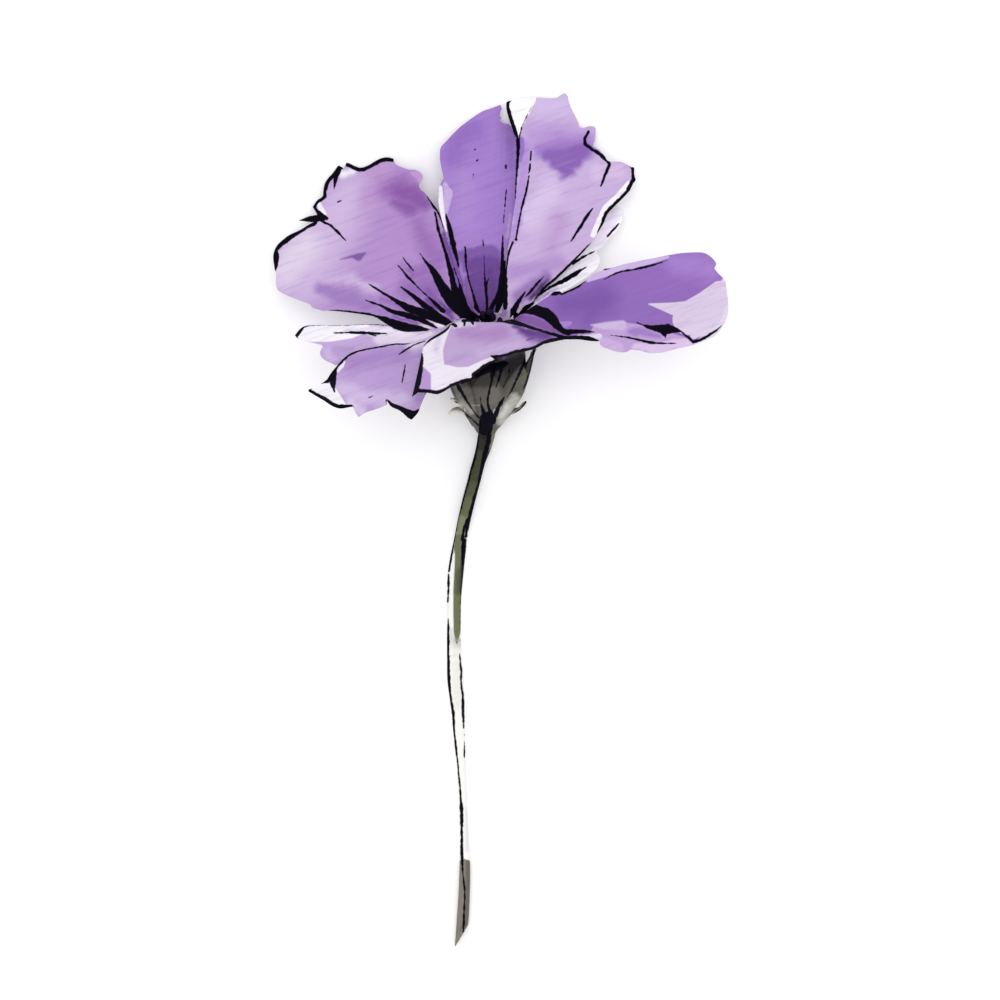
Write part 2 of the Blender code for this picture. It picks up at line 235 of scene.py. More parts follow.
def outlineCutter(outline):
    # A prism over the outline whose sides run to the camera, and a barrel round the throat
    # that keeps the petal's claw whole
    shape = bmesh.new()
    bottom, top = trim["bottom"] * mm, trim["top"] * mm
    height = photo["cameraHeight"]
    rim = [onSurface(x, y) for x, y, ink in outline]
    verts = [shape.verts.new(place * ((height - bottom) / height) + Vector((0, 0, bottom))) for place in rim]
    face = shape.faces.new(verts)
    lid = bmesh.ops.extrude_face_region(shape, geom=[face])["geom"]
    lidVerts = [item for item in lid if isinstance(item, bmesh.types.BMVert)]
    shrink = (height - top) / (height - bottom)
    bmesh.ops.scale(shape, verts=lidVerts, vec=(shrink, shrink, 1))
    bmesh.ops.translate(shape, verts=lidVerts, vec=(0, 0, top - bottom))
    bmesh.ops.triangulate(shape, faces=shape.faces)
    bmesh.ops.recalc_face_normals(shape, faces=shape.faces)
    prism = newPiece("outline_cutter", shape)
    barrel = bmesh.new()
    bmesh.ops.create_cone(
        barrel, cap_ends=True, segments=trim["barrelSides"], radius1=trim["barrelRadius"],
        radius2=trim["barrelRadius"], depth=trim["barrelHeight"],
        matrix=headPlace @ Matrix.Translation((0, 0, head["disc"] + trim["barrelMiddle"])),
    )
    bmesh.ops.triangulate(barrel, faces=barrel.faces)
    return combine(prism, [newPiece("throat_barrel", barrel)], "UNION")


# Paint: every skin is one Principled surface whose colour is laid on in brush strokes.
# A stroke is a line of (x, y, half width) in the photograph's pixels.

brush = {
    "paper": 0.84,  # how much light a skin reflects that the photograph shows as pure white
    "slant": 20,  # degrees, the fine brush lines rise to the right
    "lineSpacing": 0.72, "lineLength": 8.28,  # mm, drawn as coarse as they need to show
    "washWander": 0.9, "washGrain": 3.24,  # mm, how far and how often a wash's edge strays
    "inkWander": 0.198, "inkGrain": 0.9, "inkEdge": 0.081,  # mm, the same for the ink, and its blur
    "wetFrom": 3,  # pixels, only washes with a softer edge than this stray
    "inkColour": "#0b0814",
    "line": "#7d569f", "lines": 0.3,  # the dark brush lines and how strongly they show
    "streak": "#e9dcf2", "streaks": 0.09,  # the light ones
    "linesFrom": (0.5, 0.75), "streaksFrom": (0.45, 0.25),  # the noise between which each sets in
    "roughness": 0.6, "gloss": 0.2, "inkGloss": 0.02,
    "grainHeight": 0.1,  # mm, of the relief that the brush lines leave
}


def hexColour(value, paper=brush["paper"]):
    # An sRGB hex value of the photograph as the linear reflectance that shows so
    parts = [int(value[i:i + 2], 16) / 255 for i in (1, 3, 5)]
    linear = [c / 12.92 if c <= 0.04045 else ((c + 0.055) / 1.055) ** 2.4 for c in parts]
    return (*(paper * c for c in linear), 1)


def addNode(tree, kind, inputs=None, **settings):
    node = tree.nodes.new(kind)
    for name, value in settings.items():
        setattr(node, name, value)
    for key, value in (inputs or {}).items():
        if isinstance(value, bpy.types.NodeSocket):
            tree.links.new(value, node.inputs[key])
        else:
            node.inputs[key].default_value = value
    return node


def newMaterial(name):
    material = bpy.data.materials.new(name)
    material.use_nodes = True
    tree = material.node_tree
    return material, tree, tree.nodes["Principled BSDF"]


def strokeGroup():
    # How far a place lies outside one stretch of a tapering stroke
    tree = bpy.data.node_groups.new("brush stroke", "ShaderNodeTree")
    for name in ("Place", "Start", "Run", "Share"):
        tree.interface.new_socket(name, in_out="INPUT", socket_type="NodeSocketVector")
    for name in ("Width", "Growth"):
        tree.interface.new_socket(name, in_out="INPUT", socket_type="NodeSocketFloat")
    tree.interface.new_socket("Distance", in_out="OUTPUT", socket_type="NodeSocketFloat")
    given = tree.nodes.new("NodeGroupInput").outputs
    fromStart = addNode(
        tree, "ShaderNodeVectorMath", {0: given["Place"], 1: given["Start"]}, operation="SUBTRACT",
    ).outputs[0]
    share = addNode(
        tree, "ShaderNodeVectorMath", {0: fromStart, 1: given["Share"]}, operation="DOT_PRODUCT",
    ).outputs["Value"]
    held = addNode(tree, "ShaderNodeClamp", {"Value": share}).outputs[0]
    gone = addNode(
        tree, "ShaderNodeVectorMath", {0: given["Run"], "Scale": held}, operation="SCALE",
    ).outputs[0]
    off = addNode(tree, "ShaderNodeVectorMath", {0: fromStart, 1: gone}, operation="SUBTRACT").outputs[0]
    distance = addNode(tree, "ShaderNodeVectorMath", {0: off}, operation="LENGTH").outputs["Value"]
    width = addNode(
        tree, "ShaderNodeMath", {0: held, 1: given["Growth"], 2: given["Width"]}, operation="MULTIPLY_ADD",
    ).outputs[0]
    outside = addNode(tree, "ShaderNodeMath", {0: distance, 1: width}, operation="SUBTRACT").outputs[0]
    addNode(tree, "NodeGroupOutput", {"Distance": outside})
    return tree


brushStroke = strokeGroup()


def strokesDistance(tree, place, strokes):
    # The distance outside the nearest of the strokes
    nearest = None
    for stroke in strokes:
        points = stroke if len(stroke) > 1 else stroke * 2
        for (x0, y0, w0), (x1, y1, w1) in zip(points, points[1:]):
            run = Vector((x1 - x0, y1 - y0, 0))
            share = run / max(run.length_squared, 1e-6)
            stretch = {"Start": (x0, y0, 0), "Run": run, "Share": share, "Width": w0, "Growth": w1 - w0}
            one = addNode(
                tree, "ShaderNodeGroup", {"Place": place, **stretch}, node_tree=brushStroke,
            ).outputs[0]
            nearest = one if nearest is None else addNode(
                tree, "ShaderNodeMath", {0: nearest, 1: one}, operation="MINIMUM",
            ).outputs[0]
    return nearest


def paintedSkin(name, look, rimInk=True):
    # Petal, calyx and stem tissue is soft and matte. Watercolour washes, fine slanting brush lines
    # and ragged ink lie on it, so it shows flat colour with hardly any gloss, and none on the ink.
    look = {**brush, **look}
    material, tree, shader = newMaterial(name)
    place = addNode(tree, "ShaderNodeAttribute", attribute_name="drawn").outputs["Vector"]

    # An unsteady place for the washes, and a little noise for the edges of the ink
    washScale, inkScale = (1 / inPixels(look[grain]) for grain in ("washGrain", "inkGrain"))
    wander = addNode(
        tree, "ShaderNodeTexNoise", {"Vector": place, "Scale": washScale, "Detail": 3.0, "Roughness": 0.6},
    ).outputs["Color"]
    centred = addNode(
        tree, "ShaderNodeVectorMath", {0: wander, 1: (0.5, 0.5, 0.5)}, operation="SUBTRACT",
    ).outputs[0]
    away = 2 * inPixels(look["washWander"])
    wetPlace = addNode(
        tree, "ShaderNodeVectorMath", {0: centred, 1: (away, away, 0), 2: place}, operation="MULTIPLY_ADD",
    ).outputs[0]
    grit = addNode(
        tree, "ShaderNodeTexNoise", {"Vector": place, "Scale": inkScale, "Detail": 2.0},
    ).outputs[0]
    uneven = addNode(tree, "ShaderNodeMath", {0: grit, 1: -0.5}, operation="ADD").outputs[0]
    ragged = addNode(
        tree, "ShaderNodeMath", {0: uneven, 1: 2 * inPixels(look["inkWander"])}, operation="MULTIPLY",
    ).outputs[0]

    # Washes, each a set of strokes with soft edges
    colour = hexColour(look["base"], look["paper"])
    for tone, soft, strokes in look["washes"]:
        distance = strokesDistance(tree, wetPlace if soft > look["wetFrom"] else place, strokes)
        share = addNode(
            tree, "ShaderNodeMapRange",
            {"Value": distance, "From Min": -soft / 2, "From Max": soft / 2, "To Min": 1.0, "To Max": 0.0},
            interpolation_type="SMOOTHSTEP",
        ).outputs[0]
        laid = {0: share, 6: colour, 7: hexColour(tone, look["paper"])}
        colour = addNode(tree, "ShaderNodeMix", laid, data_type="RGBA").outputs[2]

    # Fine brush lines, dark and light
    slant = math.radians(look["slant"])
    turned = addNode(
        tree, "ShaderNodeMapping", {"Vector": place, "Rotation": (0, 0, slant)}, vector_type="POINT",
    ).outputs[0]
    lineScale = (1 / inPixels(look["lineLength"]), 1 / inPixels(look["lineSpacing"]), 0)
    stretched = addNode(
        tree, "ShaderNodeVectorMath", {0: turned, 1: lineScale}, operation="MULTIPLY",
    ).outputs[0]
    lines = addNode(
        tree, "ShaderNodeTexNoise", {"Vector": stretched, "Scale": 1.0, "Detail": 4.0, "Roughness": 0.65},
    ).outputs[0]
    for tone, strength, first, full in (
        (look["line"], look["lines"], *look["linesFrom"]),
        (look["streak"], look["streaks"], *look["streaksFrom"]),
    ):
        share = addNode(
            tree, "ShaderNodeMapRange",
            {"Value": lines, "From Min": first, "From Max": full, "To Min": 0.0, "To Max": strength},
        ).outputs[0]
        laid = {0: share, 6: colour, 7: hexColour(tone)}
        colour = addNode(tree, "ShaderNodeMix", laid, data_type="RGBA").outputs[2]

    # Ink
    distance = strokesDistance(tree, place, look["ink"])
    if rimInk:
        rim = addNode(tree, "ShaderNodeAttribute", attribute_name="rimInk").outputs["Fac"]
        distance = addNode(tree, "ShaderNodeMath", {0: distance, 1: rim}, operation="MINIMUM").outputs[0]
    unsteady = addNode(tree, "ShaderNodeMath", {0: distance, 1: ragged}, operation="ADD").outputs[0]
    edge = inPixels(look["inkEdge"])
    inked = addNode(
        tree, "ShaderNodeMapRange",
        {"Value": unsteady, "From Min": -edge, "From Max": edge, "To Min": 1.0, "To Max": 0.0},
        interpolation_type="SMOOTHSTEP",
    ).outputs[0]
    laid = {0: inked, 6: colour, 7: hexColour(look["inkColour"])}
    colour = addNode(tree, "ShaderNodeMix", laid, data_type="RGBA").outputs[2]
    tree.links.new(colour, shader.inputs["Base Color"])

    height = {"Height": lines, "Strength": 0.25, "Distance": look["grainHeight"] * mm}
    tree.links.new(addNode(tree, "ShaderNodeBump", height).outputs[0], shader.inputs["Normal"])
    gloss = addNode(
        tree, "ShaderNodeMapRange", {"Value": inked, "To Min": look["gloss"], "To Max": look["inkGloss"]},
    ).outputs[0]
    tree.links.new(gloss, shader.inputs["Specular IOR Level"])
    shader.inputs["Roughness"].default_value = look["roughness"]
    return material


# Petals

def petalStations(petal):
    # Points along the midrib from the claw's foot, in the head's frame: place, along, across,
    # up and outwards
    azimuth = math.radians(petal["azimuth"])
    radial = np.array([math.cos(azimuth), math.sin(azimuth), 0])
    axis = np.array([0.0, 0.0, 1.0])
    side = np.cross(axis, radial)
    reach = petal["length"] * growth["reach"]
    run = np.linspace(0, reach, growth["stations"] + 1)
    opened = smoothStep(run, growth["clawLength"], growth["clawLength"] + growth["openingLength"])
    limbShare = (run - growth["clawLength"]) / (petal["length"] - growth["clawLength"])
    far = np.clip(limbShare, 0, None) ** growth["limbBend"]
    root, tip = petal["rise"]
    limbRise = root + (tip - root) * far
    rise = np.radians(growth["clawRise"] + (limbRise - growth["clawRise"]) * opened)[:, None]
    sway = (math.radians(petal["sway"]) * far)[:, None]
    out = radial * np.cos(sway) + side * np.sin(sway)
    along = out * np.cos(rise) + axis * np.sin(rise)
    level = np.cross(axis, out)
    twist = (math.radians(petal["twist"]) * opened)[:, None]
    dot = (along * level).sum(1, keepdims=True)
    across = level * np.cos(twist) + np.cross(along, level) * np.sin(twist)
    across = across + along * dot * (1 - np.cos(twist))
    edgeDrop = growth["edgeDrop"] * math.cos(math.radians(growth["clawRise"]))
    start = radial * petal["ring"] + axis * (head["disc"] + head["gap"] + edgeDrop)
    steps = (along[1:] + along[:-1]) / 2 * (reach / growth["stations"])
    place = start + np.vstack([np.zeros(3), np.cumsum(steps, 0)])
    return run, np.concatenate([place, along, across, np.cross(along, across), out], 1)


def petalSurface(petal, u, v):
    # Points at u from -1 to 1 across the petal and v from 0 to 1 along it, in metres
    runs, stations = petalStations(petal)
    reach = np.interp((u + 1) / 2, np.linspace(0, 1, len(petal["edge"])), petal["edge"]) * growth["spread"]
    run = v * reach * petal["length"]
    at = np.stack([np.interp(run, runs, column) for column in stations.T], 1)
    place, along, across, up, out = (at[:, i:i + 3] for i in range(0, 15, 3))
    widthShare = (v - growth["clawShare"]) / (1 - growth["clawShare"])
    clockwise, other = (
        curveThrough([growth["clawHalfWidth"]] + [pair[side] for pair in petal["widths"]], widthShare)
        for side in (0, 1)
    )
    half = np.where(u < 0, clockwise, other)
    half = half * (1 + (growth["spread"] - 1) * smoothStep(v, *growth["spreadFrom"]))
    wrap = 1 + (growth["wrap"] - 1) * smoothStep(v, *growth["wrapFrom"])
    bend = wrap / np.maximum(1.0, np.hypot(place[:, 0], place[:, 1]))
    angle = u * half * bend
    height, count, phase = petal["ripple"]
    ripples = np.sin(count * math.pi * u + phase + growth["rippleSlant"] * v)
    frills = np.sin(growth["frillWaves"] * u + growth["frillPhase"] * phase + growth["frillSlant"] * v)
    veins = np.cos(2 * math.pi * growth["veins"] * u)
    lift = growth["cup"] * half * u * u * smoothStep(v, *growth["cupFrom"])
    lift += height * smoothStep(v, *growth["rippleFrom"]) * ripples
    lift += growth["frill"] * smoothStep(v, *growth["frillFrom"]) * frills
    lift += growth["veinHeight"] * smoothStep(v, *growth["veinsFrom"]) * veins
    sideways, inwards = np.sin(angle) / bend, (1 - np.cos(angle)) / bend
    places = place + across * sideways[:, None] - out * inwards[:, None]
    places += up * lift[:, None]
    matrix = np.array(headPlace)
    places = places @ matrix[:3, :3].T + matrix[:3, 3]
    places[:, 2] = np.maximum(places[:, 2], growth["thickness"] * mm / 2)  # it rests on the surface
    return places


def rimDistance(places, outline):
    # How far each place lies inside the ink line along the outline
    start, end = outline, np.roll(outline, -1, 0)
    run = end[:, :2] - start[:, :2]
    square = np.maximum((run ** 2).sum(1), 1e-9)
    nearest = np.full(len(places), 1e9)
    for i in range(len(outline)):
        off = places - start[i, :2]
        share = np.clip(off @ run[i] / square[i], 0, 1)
        width = start[i, 2] + share * (end[i, 2] - start[i, 2])
        nearest = np.minimum(nearest, np.hypot(*(off - share[:, None] * run[i]).T) - width)
    return nearest


def makePetal(node, petal):
    # A thin sheet is grown, thickened and trimmed to the petal's outline
    shape = bmesh.new()
    bmesh.ops.create_grid(shape, x_segments=growth["across"], y_segments=growth["along"], size=1)
    at = np.array([vert.co[:2] for vert in shape.verts])
    for vert, place in zip(shape.verts, petalSurface(petal, at[:, 0], (at[:, 1] + 1) / 2)):
        vert.co = place
    bmesh.ops.triangulate(shape, faces=shape.faces)
    piece = newPiece(node + "_skin", shape)
    thick = piece.modifiers.new("thickness", "SOLIDIFY")
    thick.thickness, thick.offset = growth["thickness"] * mm, 0
    applied(piece)
    outline = traceOutline(petal["outline"])
    combine(piece, [outlineCutter(outline)], "INTERSECT")
    rim = piece.data.attributes.new("rimInk", "FLOAT", "POINT")
    rim.data.foreach_set("value", rimDistance(onPhoto(meshPlaces(piece.data)), outline))
    finishPiece(piece, node, paintedSkin(node + " petal tissue", petal))
    print("petal", node, len(piece.data.polygons), "faces")
    return piece


# Each petal: degrees round the axis, mm from it to the claw and along the limb, degrees of rise at
# root and tip, of sway and of twist, mm of half width on both sides along the limb, the share of
# the length that its edge reaches from side to side, and its ripple's height, count and phase.
# The rest is drawn in the photograph's pixels.

leftPetal = {
    "azimuth": 148, "ring": 2.6, "length": 45.8, "rise": (14, 17.5), "sway": -11, "twist": -34,
    "widths": [(7, 9), (11.5, 14), (15, 18), (15, 19.5)],
    "edge": [0.89, 0.95, 1.0, 1.0, 0.97, 0.95, 0.97, 0.94, 0.83],
    "ripple": (0.5, 2.2, 0.4),
    "outline": [
        [(486, 322), (468, 300), (460, 275), (453, 255), (447, 240), (443, 226, 0.6), (440, 214, 1.8),
         (434, 205, 2.2), (428, 197, 1)],
        [(424, 192), (420, 189), (419, 185)],
        [(421, 182), (423, 177.5), (421, 173), (416, 170), (409, 169.5)],
        [(402, 167.5), (396, 164.5), (394, 162, 0.5)],
        [(393.5, 158.5, 3.6), (387, 157.3, 4), (381, 158.3, 4), (375, 161.3, 4), (368, 165.5, 4),
         (361, 167.7, 4), (355, 166.2, 4), (350, 163.6, 4), (346.5, 162.6, 3)],
        [(345, 166.5), (343.5, 169)],
        [(343, 168, 1), (338.5, 165.5, 4.5), (335.5, 169.5, 5), (332.4, 173.6, 4.5), (327.8, 178.6, 4),
         (324.6, 184, 4), (323.3, 191, 3.6), (322.6, 196.5, 3.6), (317.2, 200.3, 3), (312.6, 207, 3)],
        [(315.5, 211.5, 3), (317.5, 214.7, 4)],
        [(309, 216.2, 5), (298.5, 220.5, 5)],
        [(307, 221.7, 5), (313.6, 222.2, 4)],
        [(308, 225, 3.2), (300, 230, 3.3), (290, 234.6, 5), (283.8, 239, 5), (278, 244.2, 4.5),
         (274.6, 250, 3.6), (273.2, 256.5, 6), (273.8, 263.5, 4.6), (274.7, 269.5, 2)],
        [(276.3, 273), (276, 283), (277.5, 289.5), (283, 293.5), (292, 297.5), (300, 300.5), (309, 303.5)],
        [(313, 308), (322, 310.5), (331, 310.7, 0.8), (345, 312, 1.8), (360, 314, 2), (370, 315.6, 2.4),
         (376, 317.5, 2.4), (384, 322.5, 6), (394, 328.6, 9), (406, 332.3, 9.4), (418, 332, 6.6),
         (429.6, 330.6, 1.6)],
        [(450, 332), (480, 345), (500, 340)],
    ],
    "base": "#b18dc9",
    "washes": [
        ("#ccb4dd", 46, [[(296, 268, 40), (330, 222, 30), (350, 190, 20)]]),
        ("#dfcfe7", 26, [[(284, 270, 14), (306, 246, 14)]]),
        ("#cab2dc", 20, [[(318, 281, 4), (348, 278, 5)]]),
        ("#ba95ca", 16, [[(385, 168, 8), (368, 200, 8)]]),
        ("#9869b2", 20, [[(386, 190, 8), (402, 188, 14), (412, 200, 15)]]),
        ("#8757a3", 12, [[(399, 190, 6), (414, 195, 9), (424, 204, 7)], [(394, 202, 4), (411, 210, 5)]]),
        # painted highlight: a pale lilac wash low on the petal
        ("#cdb6de", 12, [[(350, 280, 4), (374, 288, 4)]]),
        ("#9169b0", 9, [[(383, 300, 3), (402, 307, 3)]]),
        ("#f6f1f9", 8, [[(342, 173, 3), (353, 171, 2)]]),
        ("#f4eff8", 2.5, [[(319, 204, 2), (323, 214, 3.4)]]),
        ("#bb97d0", 1.5, [[(413, 172, 3), (420, 177, 3.4), (421, 184, 1.5)]]),
        ("#9f7cbf", 11, [[(320, 288, 5), (342, 296, 8), (372, 307, 7), (392, 314, 6)]]),
        ("#9b70b5", 22, [[(420, 226, 8), (436, 262, 12)]]),
        ("#9069b2", 22, [[(408, 290, 9), (436, 288, 12)]]),
        ("#734d9c", 4, [[(445, 236, 4), (453, 264, 5), (463, 296, 6), (472, 320, 6)]]),
        ("#7d55a6", 4, [[(395, 316.5, 1.4), (412, 321, 1.6), (420, 323.6, 1)]]),
        ("#9a6fb6", 16, [[(405, 268, 5), (424, 275, 9), (436, 258, 7)]]),
        ("#8c5ea8", 8, [[(409, 271, 2.4), (412, 276, 2)]]),
        ("#7f56a3", 8, [[(437, 300, 3.4), (428, 291, 3)]]),
        ("#6b4191", 7, [[(426, 299, 2.6), (437, 308, 3.6)], [(446, 312, 3), (451, 318, 3)]]),
        # painted shade: a deep violet wash darkens the petal towards the throat
        ("#5c3783", 6, [[(441, 302, 1.6), (445, 306, 2.4), (450.5, 311.4, 3)]]),
        ("#efe6f4", 3, [[(455, 321.4, 1.2), (461, 325, 2.4)]]),
        ("#f0e9f4", 6, [[(430, 320, 0.8), (444, 327.4, 3.6)], [(421, 325.4, 1.4), (432, 330, 2)]]),
        ("#7e589f", 2.5, [[(340.5, 259.5, 0.4), (352, 256.5, 1.4), (358.5, 257, 4), (365.5, 253, 0.8)]]),
    ],
    "ink": [
        [(341, 169, 1), (336, 176, 3), (334, 189, 0.4)],
        [(338, 202, 0.9), (341, 200.5, 0.6)],
        [(314, 208, 1.3), (321, 214, 1.8), (327, 218.5, 1.8)],
        [(312, 219, 3), (323, 218, 3.2)],
        [(321, 221, 1.2), (330, 225, 1.2), (337, 231, 1.4), (346, 241, 0.5)],
        [(420, 253.5, 0.3), (424.5, 260, 1), (430, 266.5, 2.2), (435.5, 274.5, 3.8), (441, 285, 4.6),
         (446, 293, 5.8), (453, 303, 6.2), (461, 311, 5.8), (468, 317, 4.4)],
        [(435, 212, 1), (438.4, 230, 1.5), (443.2, 245, 1.5), (447, 257.8, 1.7), (451, 273.7, 2.8),
         (453.6, 284.5, 3), (456, 296, 5), (463, 311, 5.4)],
        [(398, 265.4, 0.4), (403, 271, 1), (407.5, 276.5, 1.6), (412, 281.2, 1.1), (416, 285.4, 0.6),
         (420, 289.4, 0.5), (429, 297.6, 1), (436, 304.2, 2), (441.5, 309.6, 2.4), (444, 311.5, 2)],
        [(402.7, 256.8, 0.3), (405.5, 261, 0.7), (409, 265.5, 1.1), (413.4, 270.8, 0.7)],
        [(401, 287, 0.7), (411, 294, 2), (424, 305, 3), (440, 317, 3), (455, 326, 2.4)],
        [(369, 284, 0.6), (383, 293, 1.3), (396, 301, 2), (408, 308, 4), (425, 314, 4.5), (440, 321, 3),
         (455, 327, 1.5)],
        [(366, 300.4, 0.7), (380, 305.2, 1.3), (393, 311.8, 2.2), (410, 316, 3.2), (425, 321.6, 2.6),
         (436.5, 327.6, 1)],
        [(449, 297, 4.6), (456, 305, 6), (464, 313, 5.6), (474, 318, 4)],
        [(454, 268, 0.5), (458.4, 280, 0.8), (460.4, 287, 1.6), (459.6, 292, 3.6), (460, 298, 5.4),
         (462.4, 307, 6), (466, 315, 7), (478, 318.6, 3.4)],
    ],
}

backPetal = {
    "azimuth": 94.5, "ring": 4.0, "length": 45, "rise": (46, 38), "sway": -6.5, "twist": 1,
    "widths": [(5, 7), (6.5, 9), (6.5, 9.5), (6.5, 10)],
    "edge": [0.84, 0.92, 0.94, 1.0, 0.99, 0.97, 0.93, 0.88, 0.82],
    "ripple": (0.4, 2.0, 1.2),
    "outline": [
        [(470, 325), (468, 305), (460, 285), (455, 268), (450, 248), (446, 232), (442.5, 222), (440, 212),
         (438.3, 200), (438.5, 190), (441, 183), (443.6, 178)],
        [(441.4, 168), (440, 160), (440, 152), (441, 147), (446, 141.5), (451, 136), (459, 128),
         (467, 121.7), (475, 116), (482.5, 111.3), (492, 108), (500.4, 104.8)],
        [(501.8, 108.5), (499.6, 115), (501.3, 118), (500, 120.8), (504, 123.6), (509, 124)],
        [(513, 131), (517.5, 139)],
        [(519.5, 140, 3.5), (519.3, 152, 3), (518.3, 165, 2.4), (517.4, 180, 2), (516, 195, 1), (514, 210),
         (511, 228), (508, 245), (506, 262), (505.5, 290), (510, 330)],
    ],
    "base": "#a37dcb", "streak": "#c9add9",
    "washes": [
        ("#ac88cf", 30, [[(463, 182, 14), (464, 222, 12)]]),
        ("#956ec2", 18, [[(452, 158, 9), (457, 142, 9), (476, 130, 9)]]),
        ("#936cbf", 10, [[(511, 142, 4), (512, 165, 3)]]),
        ("#c6b0e0", 1.4, [[(445, 184, 2), (448.4, 193, 4.4), (446.6, 206, 3), (445, 214, 2)]]),
        ("#f3ecf9", 1.2, [[(440, 188, 2.6), (440.6, 205, 3.2), (443.5, 222, 2.2), (446, 231, 1)]]),
        ("#c3bdca", 1.5, [[(438.2, 189, 0.8), (438.6, 198, 0.5)]]),
        ("#bb99d6", 4, [[(510, 215, 1.6), (508, 236, 2)]]),
        ("#7d56a6", 5, [
            [(464, 254, 4), (470, 256, 8.6), (491, 255.5, 10.5)],
            [(462, 254, 4), (465, 268, 4)],
        ]),
        ("#6a4292", 7, [
            [(474, 267, 9), (492, 267, 10.5)],
            [(480, 284, 15), (486, 304, 16)],
            [(495, 272, 8), (495, 296, 8)],
        ]),
        ("#5f3984", 7, [[(489, 272, 4), (491, 296, 4)]]),
        ("#8a5fa8", 2, [[(467.5, 279, 1.8), (469.8, 292, 2.6), (472, 306, 2.8)]]),
        ("#7d57a8", 3, [[(449, 245, 2.4), (456, 268, 2.6), (462, 285, 2)]]),
    ],
    "ink": [
        [(446, 214, 0.9), (449.6, 229, 2.5), (453.4, 245, 2.7), (459, 267, 0.8)],
        [(465, 247, 0.6), (465.7, 257, 1.5), (466.2, 267, 0.9), (469.5, 283, 0.8), (474.5, 299, 1.2),
         (477.4, 312, 3)],
        [(482.5, 239, 0.5), (483.5, 245, 0.8)],
        [(484, 255, 0.3), (484.5, 275, 0.6), (485.5, 286, 1.6), (487, 300, 1.3), (487, 314, 1.6)],
        [(486, 284, 1.6), (489, 278, 0.3)],
        [(475, 149.5, 0.9)],
        [(476.5, 161, 0.7), (478, 160, 0.6)],
        [(473.5, 174.5, 0.5), (473, 178, 0.5)],
        [(506, 165.5, 1.2), (506, 168, 1)],
        [(506.3, 190, 0.5), (504.8, 206, 0.8)],
        [(504.5, 210, 0.4), (503.5, 223, 0.3)],
        [(502.8, 235, 0.4), (502.5, 255, 1.6), (502.5, 275, 2.8), (501, 295, 4.5), (500, 310, 5)],
        [(505, 262, 1.5), (505.5, 285, 2), (506.5, 308, 1.2)],
        [(500, 290, 2), (494, 303, 2), (487, 316, 3)],
        [(454.5, 270, 1), (459, 282, 3), (459, 300, 6.4), (464, 314, 7)],
        # painted shade: the throat's shade, painted black over the petal's foot
        [(464, 319, 8), (485, 319.5, 7.6), (506, 320, 6)],
    ],
}

